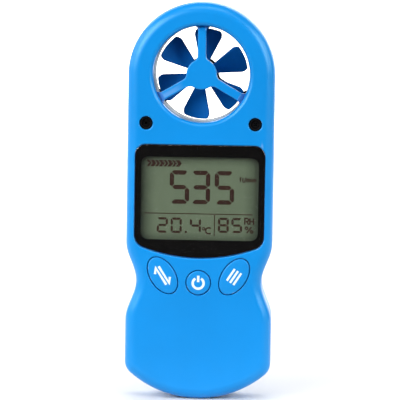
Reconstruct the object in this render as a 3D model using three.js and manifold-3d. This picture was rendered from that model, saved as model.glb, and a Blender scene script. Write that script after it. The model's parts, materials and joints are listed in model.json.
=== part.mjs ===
// A pocket wind, temperature and humidity meter.
//
// Two blue case halves close on a ducted vane wheel at the top, a segment display behind a
// black-bordered window, three keys at the waist and a coin cell behind a sliding door.
//
// Millimetres. +Z runs up the instrument, its face looks along -Y, and X = 0 is its middle plane.

import * as THREE from "three";
import { mergeVertices } from "three/addons/utils/BufferGeometryUtils.js";
import Module from "manifold-3d";

const wasm = await Module();
wasm.setup();

// ---------------------------------------------------------------------------------------------
// Driving dimensions
// ---------------------------------------------------------------------------------------------

const CASE = {
  width: 43.4,
  height: 118,
  frontY: -8.8,
  backY: 9,
  edgeRadius: 3.4,
  wall: 1.8,
  baseRadius: 31, // the shallow arc that the case ends in
  cornerRadius: 4.7, // between that arc and the sides
  waistZ: 35.15,
  waistHalfLength: 11.65,
  waistDepth: 3.05,
  seam: 0.16, // the gap between the two halves
};
CASE.innerFrontY = CASE.frontY + CASE.wall;
CASE.innerBackY = CASE.backY - CASE.wall;

const TONGUE = { outerInset: 1.05, rebateInset: 0.9, height: 1.2, rebateHeight: 1.4, bossGap: 0.2 };

const DUCT = {
  z: 96.7,
  mouthRadius: 14.3,
  lipRadius: 1.3,
  seatRadius: 15.05,
  skirtRadius: 16.4,
  frontShoulderY: -4.8,
  rearShoulderY: 6.8,
};

const SLEEVE = { innerRadius: 14.1, outerRadius: 14.9, frontY: -4.65, rearY: 3.95 };

const GUARD = {
  hubRadius: 4.5,
  spokeWidth: 2.45,
  hubFillet: 2,
  flareRadius: 1.4,
  edgeBevel: 0.3,
  frontY: -7.2,
  rearY: -5,
  taperRadius: 12.9, // the spokes fall back from here to the duct wall
  taperSlope: 0.85,
  taperLead: 0.1,
  flareOverlap: 0.15,
  bossRadius: 2.5,
  bossY: -3.75,
};

const REAR_GUARD = {
  hubRadius: 4.7,
  frontY: 4.3,
  rearY: 6.3,
  rimRadius: 14.95,
  rimFrontY: 4.1,
  rimRearY: 6.65,
  bossY: 3.5,
  flareOverlap: 0.1,
};

const BEARING = {
  outerRadius: 1.5,
  pocketRadius: 1.6,
  boreRadius: 0.66,
  length: 1.2,
  shaftReliefRadius: 0.86, // the deeper hole that clears the shaft's end
  shaftReliefDepth: 0.7,
  endGap: 0.1,
};

const ROTOR = {
  tipRadius: 13.45,
  hubRadius: 3.5,
  hubFrontY: -3.3,
  hubRearY: 2.9,
  blades: 6,
  firstBladeAngle: 22,
  halfAngle: 19.2, // of a blade as seen along the shaft
  pitch: 32,
  bladeThickness: 0.8,
  tipCorner: 1.3,
  hubNose: 1.2,
  rootDepth: 0.8, // how far a blade runs into the hub
  boreRadius: 0.7,
};

const SHAFT = { radius: 0.6, frontY: -5.35, rearY: 5.15, point: 0.35 };
const MAGNET = { radius: 2.5, length: 1.1, pocketRadius: 2.6, pocketDepth: 1.3 };

// The wheel's speed sensor, and its ribbon along one spoke of the rear guard to the board.
const HALL_SENSOR = { halfWidth: 1.45, frontY: 3.2, rearY: 4.2, low: -4.25, high: -2.95 };
const RIBBON = {
  spokeAngle: 210,
  width: 1.6,
  thickness: 0.2,
  y: 4,
  innerRadius: 5,
  outerRadius: 17.3,
  endY: -0.45,
  slotInnerRadius: 13.2,
  slotMargin: 0.3,
};

const LENS = {
  width: 38.5,
  topZ: 75.9,
  lowZ: 42.25,
  topCorner: 3.25,
  baseRadius: 48.4,
  lowCorner: 4,
  frontY: -8.75,
  thickness: 1.1,
  clearance: 0.15,
  pocketY: -7.3,
  padY: -6.4,
  padInset: 0.2,
};

const WINDOW = { width: 34.7, lowZ: 47.7, highZ: 72.3, corner: 2.2, shellMargin: 0.5 };

const GASKET = { frontY: -7.6, rearY: -7.35, inset: 0.2 };

const LCD = {
  halfWidth: 18.5,
  topZ: 74.4,
  frontPaneLowZ: 44.6,
  rearPaneLowZ: 47.8,
  filmInset: 0.7,
  polariserY: [-6.35, -6.22],
  frontPaneY: [-6.2, -5.3],
  rearPaneY: [-5.25, -4.35],
  reflectorY: [-4.3, -4.1],
};

const LCD_FRAME = {
  halfWidth: 19.3,
  lowZ: 43.9,
  highZ: 75.4,
  corner: 1.2,
  frontY: -6.3,
  rearY: -1.8,
  gap: 0.2,
};

const ZEBRA = { halfWidth: 17.5, frontY: -5.25, lowZ: 44.9, highZ: 47.3 };

const BOARD = { frontY: -1.6, rearY: -0.6, solder: 0.05 };

const CONTROLLER = { z: 60, radius: 5, height: 1.8 };
const CRYSTAL = { x: 10.5, z: 50, halfWidth: 1, halfLength: 3, rearY: 1.2 };
const THERMISTOR = { beadRadius: 0.95, beadY: -4.9, legRadius: 0.2, legX: 0.5 };
const HUMIDITY_SENSOR = { halfWidth: 2, halfHeight: 2.2, frontY: -3.9 };

const CAP = {
  x: 16.08,
  z: 82.2,
  holeRadius: 1.98,
  radius: 1.84,
  recess: 0.6,
  countersink: 0.3,
  flangeRadius: 2.9,
  flangeThickness: 0.65,
  cupRadius: 1.35,
  cupDepth: 0.8,
  ventRadius: 0.45,
};

const KEY = {
  crownY: -9,
  gap: 0.25,
  flangeMargin: 0.7,
  flangeFrontY: -6.85,
  flangeRearY: -6.2,
  stemRadius: 1.2,
  stemRearY: -5.4,
  bevel: 0.4,
};

const OVAL_KEY = { x: 10.6, z: 37.1, long: 5.95, short: 3.62, tilt: 57 };
const ROUND_KEY = { z: 35.1, radius: 3.55 };

const SWITCH = { size: 4.5, bodyFrontY: -4.1, plungerRadius: 0.9, plungerY: -4.85 };

const CASE_SCREW = {
  places: [
    [-12.87, 109.57],
    [12.87, 109.57],
    [-16.2, 14],
    [16.2, 14],
  ],
  frontBossRadius: 2.2,
  rearBossRadius: 2.9,
  pilotRadius: 0.9,
  clearRadius: 1.2,
  sinkRadius: 2.15,
  sinkY: 5,
  headRadius: 1.9,
  headHeight: 1.5,
  shankRadius: 0.8,
  tipY: -4.6,
};

const BOARD_SCREW = {
  places: [
    [-8, 77.9],
    [8, 77.9],
    [-12.5, 26.5],
    [12.5, 26.5],
  ],
  postRadius: 1.8,
  pilotRadius: 0.85,
  holeRadius: 1,
  headRadius: 1.6,
  headHeight: 1,
  shankRadius: 0.75,
  tipY: -5,
};

const CELL = { radius: 10, thickness: 3.2, z: 17.4, frontY: 3.75 };

const TRAY = { boreRadius: 10.4, outerRadius: 11.7, floorFrontY: 2.4, floorRearY: 3.4 };

const DOOR = {
  halfWidth: 11.3,
  topZ: 29.7,
  innerY: 7.15,
  gap: 0.3,
  tongueHalfWidth: 12.4,
  tongueRearY: 8,
  tongueLowZ: 4,
  latchHalfWidth: 4,
  latchReach: 1.6,
  deckFrontY: 5.2,
  deckHalfWidth: 14,
  deckMargin: 2.5,
  slideGap: 0.2, // in depth, all round the sliding parts
  ribs: 5,
  ribPitch: 1.6,
  ribTopZ: 24.5,
  ribHalfWidth: 5,
  ribDepth: 0.35,
};

const CONTACT = {
  thickness: 0.25,
  clearance: 0.05,
  legEndY: -0.55,
  legHalfWidth: 1,
  leafHalfWidth: 3,
  leafLow: -7.2, // from the cell's axis
  leafHigh: 4,
  rimGap: 0.25,
  stripRearY: 6.6,
  slotMargin: 0.5,
};

const PAST = 1; // how far a cutting tool runs past the face that it opens
const OVERLAP = 0.5; // how far a feature runs into the wall that it grows from
const FAR = 150; // past the whole meter
const FINE = 48;
const MEDIUM = 28;
const SMALL = 16;

// ---------------------------------------------------------------------------------------------
// Materials
// ---------------------------------------------------------------------------------------------

function finish(color, roughness, metalness = 0) {
  return new THREE.MeshStandardMaterial({ color, roughness, metalness });
}

const MATERIAL = {
  blueShell: finish(0x2199f0, 0.38),
  blueKey: finish(0x2a9df2, 0.45),
  navyVane: finish(0x0b4a8c, 0.4),
  blackPlastic: finish(0x0c0d10, 0.5),
  greySleeve: finish(0xd5d7dc, 0.35),
  clearAcrylic: finish(0xdfe6e8, 0.08),
  blackInk: finish(0x060607, 0.4),
  displayGlass: finish(0x9aa58f, 0.15),
  displayFilm: finish(0x6f7b66, 0.3),
  whitePlastic: finish(0xe6e6e2, 0.55),
  rubber: finish(0x2b2b2d, 0.85),
  board: finish(0x1c5a34, 0.5),
  epoxy: finish(0x101010, 0.35),
  steel: finish(0xb9bcc0, 0.3, 1),
  brass: finish(0xc9a24a, 0.35, 1),
  magnet: finish(0x4a4c50, 0.45, 1),
  ribbon: finish(0xb5651d, 0.5),
};

// ---------------------------------------------------------------------------------------------
// Solids
// ---------------------------------------------------------------------------------------------

function toSolid(geometry) {
  const bare = geometry.index ? geometry.toNonIndexed() : geometry.clone();
  bare.deleteAttribute("normal");
  bare.deleteAttribute("uv");
  const merged = mergeVertices(bare, 1e-4);
  return new wasm.Manifold(
    new wasm.Mesh({
      numProp: 3,
      vertProperties: merged.attributes.position.array,
      triVerts: new Uint32Array(merged.index.array),
    }),
  );
}

function toGeometry(solid) {
  const { vertProperties, triVerts } = solid.getMesh();
  const geometry = new THREE.BufferGeometry();
  geometry.setAttribute("position", new THREE.BufferAttribute(vertProperties, 3));
  geometry.setIndex(new THREE.BufferAttribute(triVerts, 1));
  const faceted = geometry.toNonIndexed();
  faceted.computeVertexNormals();
  return faceted;
}

function join(...solids) {
  return solids.reduce((whole, next) => whole.add(next));
}

function cut(whole, ...tools) {
  return tools.reduce((rest, tool) => rest.subtract(tool), whole);
}

function block([x0, x1], [y0, y1], [z0, z1]) {
  const box = new THREE.BoxGeometry(x1 - x0, y1 - y0, z1 - z0);
  box.translate((x0 + x1) / 2, (y0 + y1) / 2, (z0 + z1) / 2);
  return toSolid(box);
}

// A cylinder or cone along Y.
function disc(radius, y0, y1, [x, z] = [0, 0], sides = MEDIUM, endRadius = radius) {
  const cylinder = new THREE.CylinderGeometry(endRadius, radius, y1 - y0, sides);
  cylinder.translate(x, (y0 + y1) / 2, z);
  return toSolid(cylinder);
}

// A profile of [radius, y] points, closed on the axis or on itself, turned about Y.
function turned(profile, [x, z] = [0, 0], sides = FINE) {
  const lathe = new THREE.LatheGeometry(
    profile.map(([radius, y]) => new THREE.Vector2(radius, y)),
    sides,
  );
  lathe.translate(x, 0, z);
  return toSolid(lathe);
}

// An outline in X and Z, with holes, as a plate between two Y values.
function plate(outline, y0, y1, { holes = [], bevel = 0, steps = 3 } = {}) {
  const shape = new THREE.Shape(outline);
  shape.holes = holes.map((hole) => new THREE.Path(hole));
  const extruded = new THREE.ExtrudeGeometry(shape, {
    depth: y1 - y0 - 2 * bevel,
    bevelEnabled: bevel > 0,
    bevelThickness: bevel,
    bevelSize: bevel,
    bevelOffset: -bevel,
    bevelSegments: steps,
  });
  extruded.rotateX(Math.PI / 2);
  extruded.translate(0, y1 - bevel, 0);
  return toSolid(extruded);
}

// ---------------------------------------------------------------------------------------------
// Outlines, counter-clockwise in X and Z
// ---------------------------------------------------------------------------------------------

function degrees(angle) {
  return (angle * Math.PI) / 180;
}

function arc([x, z], radius, from, to, steps) {
  return Array.from({ length: steps + 1 }, (_, i) => {
    const angle = from + ((to - from) * i) / steps;
    return new THREE.Vector2(x + radius * Math.cos(angle), z + radius * Math.sin(angle));
  });
}

// Completes an outline from its right half, which starts and ends on X = 0.
function mirrored(rightHalf) {
  const left = rightHalf.slice(1, -1).reverse();
  return [...rightHalf, ...left.map(({ x, y }) => new THREE.Vector2(-x, y))];
}

function rectangle(halfWidth, lowZ, highZ, corner, steps = 5) {
  const x = halfWidth - corner;
  return [
    ...arc([x, lowZ + corner], corner, -Math.PI / 2, 0, steps),
    ...arc([x, highZ - corner], corner, 0, Math.PI / 2, steps),
    ...arc([-x, highZ - corner], corner, Math.PI / 2, Math.PI, steps),
    ...arc([-x, lowZ + corner], corner, Math.PI, 1.5 * Math.PI, steps),
  ];
}

// The right half of a base arc about X = 0 and the corner that joins it to an upright side.
function roundedBase(halfWidth, lowZ, baseRadius, cornerRadius, inset, steps) {
  const baseZ = lowZ + baseRadius;
  const x = halfWidth - cornerRadius;
  const z = baseZ - Math.sqrt((baseRadius - cornerRadius) ** 2 - x ** 2);
  const turn = Math.atan2(x, baseZ - z) - Math.PI / 2;
  return [
    ...arc([0, baseZ], baseRadius - inset, -Math.PI / 2, turn, 2 * steps),
    ...arc([x, z], cornerRadius - inset, turn, 0, steps).slice(1),
  ];
}

function waistWidth(z) {
  const along = Math.min(Math.abs(z - CASE.waistZ) / CASE.waistHalfLength, 1);
  return CASE.waistDepth * (0.5 + 0.5 * Math.cos(Math.PI * along));
}

function caseOutline(inset) {
  const half = CASE.width / 2;
  const waist = Array.from({ length: 11 }, (_, i) => {
    const z = CASE.waistZ + CASE.waistHalfLength * (i / 5 - 1);
    return new THREE.Vector2(half - inset - waistWidth(z), z);
  });
  return mirrored([
    ...roundedBase(half, 0, CASE.baseRadius, CASE.cornerRadius, inset, 5),
    ...waist,
    ...arc([0, CASE.height - half], half - inset, 0, Math.PI / 2, 15),
  ]);
}

function lensOutline(inset) {
  const half = LENS.width / 2;
  const corner = LENS.topCorner;
  const top = arc([half - corner, LENS.topZ - corner], corner - inset, 0, Math.PI / 2, 6);
  return mirrored([
    ...roundedBase(half, LENS.lowZ, LENS.baseRadius, LENS.lowCorner, inset, 5),
    ...top,
    new THREE.Vector2(0, LENS.topZ - inset),
  ]);
}

function ovalOutline(margin, steps = 32) {
  return Array.from({ length: steps }, (_, i) => {
    const angle = (2 * Math.PI * i) / steps;
    return new THREE.Vector2(
      (OVAL_KEY.long + margin) * Math.cos(angle),
      (OVAL_KEY.short + margin) * Math.sin(angle),
    );
  });
}

function circleOutline(radius, steps = 32) {
  return arc([0, 0], radius, 0, 2 * Math.PI, steps).slice(0, -1);
}

// A hub with three filleted spokes that flare into a wall at wallRadius and end at reach.
function spiderOutline(hubRadius, wallRadius, reach) {
  const half = GUARD.spokeWidth / 2;
  const hubSide = half + GUARD.hubFillet;
  const hubAlong = Math.sqrt((hubRadius + GUARD.hubFillet) ** 2 - hubSide ** 2);
  const wallSide = half + GUARD.flareRadius;
  const wallAlong = Math.sqrt((wallRadius - GUARD.flareRadius) ** 2 - wallSide ** 2);
  const hubTurn = Math.atan2(hubSide, hubAlong);
  const wallTurn = Math.atan2(wallSide, wallAlong);
  const end = new THREE.Vector2(reach * Math.cos(wallTurn), -reach * Math.sin(wallTurn));
  const side = [
    ...arc([hubAlong, -hubSide], GUARD.hubFillet, Math.PI - hubTurn, Math.PI / 2, 5),
    ...arc([wallAlong, -wallSide], GUARD.flareRadius, Math.PI / 2, -wallTurn, 5),
    end,
  ];
  const otherSide = [...side].reverse().map(({ x, y }) => new THREE.Vector2(x, -y));
  const hubArc = arc([0, 0], hubRadius, hubTurn, degrees(120) - hubTurn, 6).slice(1, -1);
  const spoke = [...side, ...otherSide, ...hubArc];
  return [90, 210, 330].flatMap((angle) =>
    spoke.map((point) => point.clone().rotateAround(new THREE.Vector2(), degrees(angle))),
  );
}

function shifted(outline, x, z) {
  return outline.map((point) => new THREE.Vector2(point.x + x, point.y + z));
}

function rotated(outline, angle) {
  return outline.map((point) => point.clone().rotateAround(new THREE.Vector2(), degrees(angle)));
}

// The left key leans to the upper left, the right key is its mirror image.
function ovalKeyTilt(side) {
  return side < 0 ? 180 - OVAL_KEY.tilt : OVAL_KEY.tilt;
}

// ---------------------------------------------------------------------------------------------
// Case
// ---------------------------------------------------------------------------------------------

const ductCentre = [0, DUCT.z];

function caseBody() {
  return plate(caseOutline(0), CASE.frontY, CASE.backY, { bevel: CASE.edgeRadius, steps: 4 });
}

// The hole through one half: a rounded lip at the face, the duct wall, then the sleeve's seat.
function ductBore(faceY, shoulderY, meetY) {
  const inward = Math.sign(meetY - faceY);
  const { mouthRadius, lipRadius, seatRadius } = DUCT;
  const lip = arc([mouthRadius + lipRadius, lipRadius], lipRadius, -Math.PI / 2, -Math.PI, 4);
  const profile = [
    [0, faceY - inward * PAST],
    [mouthRadius + lipRadius, faceY - inward * PAST],
    ...lip.map(({ x, y }) => [x, faceY + inward * y]),
    [mouthRadius, shoulderY],
    [seatRadius, shoulderY],
    [seatRadius, meetY + inward * PAST],
    [0, meetY + inward * PAST],
  ];
  return turned(inward > 0 ? profile : profile.reverse(), ductCentre);
}

function frontGuard() {
  const flareEnd = DUCT.mouthRadius + GUARD.flareOverlap;
  const spider = plate(
    shifted(spiderOutline(GUARD.hubRadius, flareEnd, DUCT.skirtRadius - OVERLAP), 0, DUCT.z),
    GUARD.frontY,
    GUARD.rearY,
    { bevel: GUARD.edgeBevel, steps: 1 },
  );
  const taperDepth = GUARD.taperSlope * (DUCT.skirtRadius - GUARD.taperRadius);
  const taperY = GUARD.frontY - GUARD.taperLead;
  const taper = turned(
    [
      [GUARD.taperRadius, taperY],
      [DUCT.skirtRadius, taperY],
      [DUCT.skirtRadius, taperY + taperDepth],
      [GUARD.taperRadius, taperY],
    ],
    ductCentre,
  );
  const boss = disc(GUARD.bossRadius, GUARD.rearY - OVERLAP, GUARD.bossY, ductCentre);
  return join(cut(spider, taper), boss);
}

// A blind pocket for a bush, opening at mouthY, with a relief for the shaft's end behind it.
function bearingPocket(mouthY, inward) {
  const { length, pocketRadius, shaftReliefRadius, shaftReliefDepth } = BEARING;
  const floorY = mouthY + inward * (length + BEARING.endGap);
  const reliefY = mouthY + inward * (length + shaftReliefDepth);
  const pocket = [mouthY - inward * PAST, floorY].sort((a, b) => a - b);
  const relief = [mouthY, reliefY].sort((a, b) => a - b);
  return join(
    disc(pocketRadius, ...pocket, ductCentre, SMALL),
    disc(shaftReliefRadius, ...relief, ductCentre, SMALL),
  );
}

function frontShell() {
  const meetY = -CASE.seam / 2;
  const { innerFrontY, frontY } = CASE;
  const half = caseBody().intersect(block([-FAR, FAR], [-FAR, meetY], [-FAR, FAR]));
  const hollow = plate(caseOutline(CASE.wall), innerFrontY, PAST);
  const tongue = plate(caseOutline(TONGUE.outerInset), meetY - 1, TONGUE.height, {
    holes: [caseOutline(CASE.wall)],
  });
  const skirt = disc(DUCT.skirtRadius, innerFrontY - OVERLAP, meetY, ductCentre, FINE);
  const lensPad = plate(lensOutline(LENS.padInset), innerFrontY - LENS.padInset, LENS.padY);
  const bosses = CASE_SCREW.places.map((place) =>
    disc(CASE_SCREW.frontBossRadius, innerFrontY - OVERLAP, meetY, place, SMALL),
  );
  const tongueGaps = CASE_SCREW.places.map((place) =>
    disc(CASE_SCREW.rearBossRadius + TONGUE.bossGap, meetY, TONGUE.height + PAST, place, SMALL),
  );
  const posts = BOARD_SCREW.places.map((place) =>
    disc(BOARD_SCREW.postRadius, innerFrontY - OVERLAP, BOARD.frontY - BOARD.solder, place, SMALL),
  );
  const wall = join(cut(half, hollow), cut(tongue, ...tongueGaps));
  const solid = join(wall, skirt, lensPad, ...bosses, ...posts);

  const bore = ductBore(frontY, DUCT.frontShoulderY, meetY);
  const lensPocket = plate(lensOutline(-LENS.clearance), frontY - PAST, LENS.pocketY);
  const { shellMargin } = WINDOW;
  const windowHole = plate(
    rectangle(
      WINDOW.width / 2 + shellMargin,
      WINDOW.lowZ - shellMargin,
      WINDOW.highZ + shellMargin,
      WINDOW.corner,
    ),
    frontY,
    LENS.padY + PAST,
  );
  const caseScrewPilots = CASE_SCREW.places.map((place) =>
    disc(CASE_SCREW.pilotRadius, CASE_SCREW.tipY - OVERLAP, PAST, place, SMALL),
  );
  const boardScrewPilots = BOARD_SCREW.places.map((place) =>
    disc(BOARD_SCREW.pilotRadius, BOARD_SCREW.tipY - OVERLAP, BOARD.frontY + PAST, place, SMALL),
  );
  return cut(
    solid,
    cut(bore, frontGuard()),
    bearingPocket(GUARD.bossY, -1),
    lensPocket,
    windowHole,
    ...keyHoles(),
    ...[-1, 1].map(capHole),
    ...caseScrewPilots,
    ...boardScrewPilots,
  );
}

function keyHoles() {
  const ends = [CASE.frontY - PAST, CASE.innerFrontY + PAST];
  const ovals = [-1, 1].map((side) =>
    plate(
      shifted(rotated(ovalOutline(KEY.gap), ovalKeyTilt(side)), side * OVAL_KEY.x, OVAL_KEY.z),
      ...ends,
    ),
  );
  const round = disc(ROUND_KEY.radius + KEY.gap, ...ends, [0, ROUND_KEY.z], 32);
  return [...ovals, round];
}

function capHole(side) {
  const { frontY, innerFrontY } = CASE;
  const { holeRadius, countersink } = CAP;
  const place = [side * CAP.x, CAP.z];
  const hole = disc(holeRadius, frontY - PAST, innerFrontY + PAST, place);
  const bevel = disc(
    holeRadius + 2 * countersink,
    frontY - countersink,
    frontY + countersink,
    place,
    MEDIUM,
    holeRadius,
  );
  return join(hole, bevel);
}

function rearShell() {
  const meetY = CASE.seam / 2;
  const body = caseBody();
  const half = body.intersect(block([-FAR, FAR], [meetY, FAR], [-FAR, FAR]));
  const hollow = plate(caseOutline(CASE.wall), -PAST, CASE.innerBackY);
  const rebate = plate(caseOutline(TONGUE.rebateInset), -PAST, TONGUE.rebateHeight);
  const skirt = disc(DUCT.skirtRadius, meetY, CASE.innerBackY + OVERLAP, ductCentre, FINE);
  const deck = block(
    [-DOOR.deckHalfWidth, DOOR.deckHalfWidth],
    [DOOR.deckFrontY, CASE.innerBackY + OVERLAP],
    [-PAST, DOOR.topZ + DOOR.deckMargin],
  );
  const cellPlace = [0, CELL.z];
  const tray = disc(TRAY.outerRadius, TRAY.floorFrontY, CASE.innerBackY, cellPlace, 40);
  const bosses = CASE_SCREW.places.map((place) =>
    disc(CASE_SCREW.rearBossRadius, meetY, CASE.innerBackY + OVERLAP, place, SMALL),
  );
  const inside = join(skirt, deck, tray, ...bosses).intersect(body);
  const solid = join(cut(half, hollow, rebate), inside);

  const sinks = CASE_SCREW.places.map((place) =>
    join(
      disc(CASE_SCREW.sinkRadius, CASE_SCREW.sinkY, CASE.backY + PAST, place, SMALL + 4),
      disc(CASE_SCREW.clearRadius, meetY - PAST, CASE_SCREW.sinkY + OVERLAP, place, SMALL),
    ),
  );
  return cut(
    solid,
    ductBore(CASE.backY, DUCT.rearShoulderY, meetY),
    disc(TRAY.boreRadius, TRAY.floorRearY, CASE.backY + PAST, cellPlace, 40),
    doorChannel(),
    contactSlots(),
    ribbonSlot(),
    ...sinks,
  );
}

function doorChannel() {
  const { gap, halfWidth, tongueHalfWidth, tongueRearY, topZ, innerY } = DOOR;
  const lift = innerY - DOOR.slideGap;
  const panel = halfWidth + gap;
  const tongues = tongueHalfWidth + gap;
  const latch = DOOR.latchHalfWidth + gap;
  const tongueY = [lift, tongueRearY + DOOR.slideGap];
  return join(
    block([-panel, panel], [lift, CASE.backY + PAST], [-PAST, topZ + gap]),
    block([-tongues, tongues], tongueY, [-PAST, topZ + gap]),
    block([-latch, latch], tongueY, [topZ, topZ + DOOR.latchReach + gap]),
  );
}

// Openings in the tray for the two battery contacts.
function contactSlots() {
  const { leafHalfWidth, legHalfWidth, leafLow, thickness, rimGap, slotMargin } = CONTACT;
  const frontY = TRAY.floorFrontY - PAST;
  const stripX = CELL.radius + rimGap;
  const strip = leafHalfWidth + slotMargin;
  const leg = legHalfWidth + slotMargin;
  return join(
    block(
      [stripX - rimGap, stripX + thickness + slotMargin],
      [frontY, CASE.innerBackY],
      [CELL.z - strip, CELL.z + strip],
    ),
    block(
      [-leg, leg],
      [frontY, TRAY.floorRearY + slotMargin],
      [CELL.z + leafLow - slotMargin, CELL.z + leafLow + thickness + slotMargin],
    ),
  );
}

// A battery door with side tongues, a latch tongue at its top and thumb grooves.
function batteryDoor() {
  const { halfWidth, tongueHalfWidth, tongueRearY, tongueLowZ, topZ, innerY } = DOOR;
  const panel = block([-halfWidth, halfWidth], [innerY, CASE.backY + PAST], [-PAST, topZ]);
  const tongues = block(
    [-tongueHalfWidth, tongueHalfWidth],
    [innerY, tongueRearY],
    [tongueLowZ, topZ - OVERLAP],
  );
  const latch = block(
    [-DOOR.latchHalfWidth, DOOR.latchHalfWidth],
    [innerY, tongueRearY - 0.1],
    [topZ - 1, topZ + DOOR.latchReach],
  );
  const door = join(panel, tongues, latch).intersect(caseBody());
  const grooves = Array.from({ length: DOOR.ribs }, (_, i) => {
    const z = DOOR.ribTopZ - i * DOOR.ribPitch;
    return block(
      [-DOOR.ribHalfWidth, DOOR.ribHalfWidth],
      [CASE.backY - DOOR.ribDepth, CASE.backY + PAST],
      [z - DOOR.ribPitch / 4, z + DOOR.ribPitch / 4],
    );
  });
  return cut(door, ...grooves);
}

// ---------------------------------------------------------------------------------------------
// Duct and vane wheel, about the duct's axis
// ---------------------------------------------------------------------------------------------

function ring(innerRadius, outerRadius, y0, y1, sides = FINE) {
  return turned(
    [
      [innerRadius, y0],
      [outerRadius, y0],
      [outerRadius, y1],
      [innerRadius, y1],
      [innerRadius, y0],
    ],
    [0, 0],
    sides,
  );
}

function rearGuard() {
  const { frontY, rearY, rimRadius, rimFrontY, rimRearY, bossY } = REAR_GUARD;
  const { hubRadius, flareOverlap } = REAR_GUARD;
  const outline = spiderOutline(hubRadius, SLEEVE.innerRadius + flareOverlap, rimRadius + PAST);
  const within = disc(rimRadius - GUARD.edgeBevel, rimFrontY, rimRearY, [0, 0], FINE);
  const spider = plate(outline, frontY, rearY, { bevel: GUARD.edgeBevel, steps: 1 }).intersect(within);
  const rim = ring(SLEEVE.innerRadius, rimRadius, rimFrontY, rimRearY);
  const boss = disc(GUARD.bossRadius, bossY, frontY + OVERLAP);
  const pocket = bearingPocket(bossY, 1).translate([0, 0, -DUCT.z]);
  return cut(join(spider, rim, boss), pocket, ribbonSlot().translate([0, 0, -DUCT.z]));
}

// One flat vane along +X, pitched about its own middle line.
function vane() {
  const { tipRadius, tipCorner, hubRadius, halfAngle, pitch, bladeThickness } = ROTOR;
  const spread = Math.tan(degrees(halfAngle)) / Math.cos(degrees(pitch));
  const root = hubRadius - ROTOR.rootDepth;
  const tipHalf = Math.sin(degrees(halfAngle)) * tipRadius / Math.cos(degrees(pitch));
  const tip = Array.from({ length: 9 }, (_, i) => {
    const z = (tipHalf - tipCorner) * (i / 4 - 1);
    const seen = z * Math.cos(degrees(pitch));
    return new THREE.Vector2(Math.sqrt(tipRadius ** 2 - seen ** 2), z);
  });
  const shoulder = Math.cos(degrees(halfAngle)) * tipRadius - tipCorner;
  const outline = [
    new THREE.Vector2(root, -root * spread),
    new THREE.Vector2(shoulder, -shoulder * spread),
    new THREE.Vector2(shoulder + 0.7 * tipCorner, -tipHalf + 0.15 * tipCorner),
    ...tip,
    new THREE.Vector2(shoulder + 0.7 * tipCorner, tipHalf - 0.15 * tipCorner),
    new THREE.Vector2(shoulder, shoulder * spread),
    new THREE.Vector2(root, root * spread),
  ];
  return plate(outline, -bladeThickness / 2, bladeThickness / 2).rotate([ROTOR.pitch, 0, 0]);
}

function rotor() {
  const { hubRadius, hubFrontY, hubRearY, hubNose, boreRadius, blades, firstBladeAngle } = ROTOR;
  const nose = arc([hubRadius - hubNose, hubFrontY + hubNose], hubNose, -Math.PI / 2, 0, 4);
  const profile = [[0, hubFrontY], ...nose.map(({ x, y }) => [x, y]), [hubRadius, hubRearY], [0, hubRearY]];
  const hub = turned(profile, [0, 0], FINE);
  const vanes = Array.from({ length: blades }, (_, i) =>
    vane().rotate([0, -(firstBladeAngle + (360 / blades) * i), 0]),
  );
  return cut(
    join(hub, ...vanes),
    disc(boreRadius, hubFrontY - PAST, hubRearY + PAST, [0, 0], SMALL),
    disc(MAGNET.pocketRadius, hubRearY - MAGNET.pocketDepth, hubRearY + PAST),
  );
}

function rotorShaft() {
  const { radius, frontY, rearY, point } = SHAFT;
  return turned(
    [
      [0, frontY],
      [radius - point, frontY],
      [radius, frontY + point],
      [radius, rearY - point],
      [radius - point, rearY],
      [0, rearY],
    ],
    [0, 0],
    SMALL,
  );
}

// A slot through the rear guard's rim and the rear skirt for the speed sensor's ribbon.
function ribbonSlot() {
  const { spokeAngle, width, thickness, y, outerRadius, slotInnerRadius, slotMargin } = RIBBON;
  const side = width / 2 + slotMargin;
  const slot = block(
    [slotInnerRadius, outerRadius + 2 * slotMargin],
    [y - slotMargin, y + thickness + slotMargin / 3],
    [-side, side],
  );
  return slot.rotate([0, -spokeAngle, 0]).translate([0, 0, DUCT.z]);
}

// The ribbon runs out along a spoke and turns forward to the board.
function hallRibbon() {
  const { width, thickness, y, innerRadius, outerRadius, endY } = RIBBON;
  const across = [-width / 2, width / 2];
  const out = block([innerRadius, outerRadius], [y, y + thickness], across);
  const forward = block([outerRadius - thickness, outerRadius], [endY, y + thickness], across);
  return join(out, forward);
}

function hallSensor() {
  const { halfWidth, frontY, rearY, low, high } = HALL_SENSOR;
  return block([-halfWidth, halfWidth], [frontY, rearY], [low, high]);
}

// ---------------------------------------------------------------------------------------------
// Display
// ---------------------------------------------------------------------------------------------

function displayLens() {
  return plate(lensOutline(0), LENS.frontY, LENS.frontY + LENS.thickness);
}

function lensGasket() {
  return plate(lensOutline(GASKET.inset), GASKET.frontY, GASKET.rearY, {
    holes: [rectangle(WINDOW.width / 2, WINDOW.lowZ, WINDOW.highZ, WINDOW.corner)],
  });
}

function lcdFrame() {
  const { halfWidth, lowZ, highZ, corner, frontY, rearY, gap } = LCD_FRAME;
  const outer = plate(rectangle(halfWidth, lowZ, highZ, corner, 3), frontY, rearY);
  const inner = block(
    [-LCD.halfWidth - gap, LCD.halfWidth + gap],
    [frontY - PAST, rearY + PAST],
    [LCD.frontPaneLowZ - gap, LCD.topZ + gap],
  );
  return cut(outer, inner);
}

// ---------------------------------------------------------------------------------------------
// Electronics
// ---------------------------------------------------------------------------------------------

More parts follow.
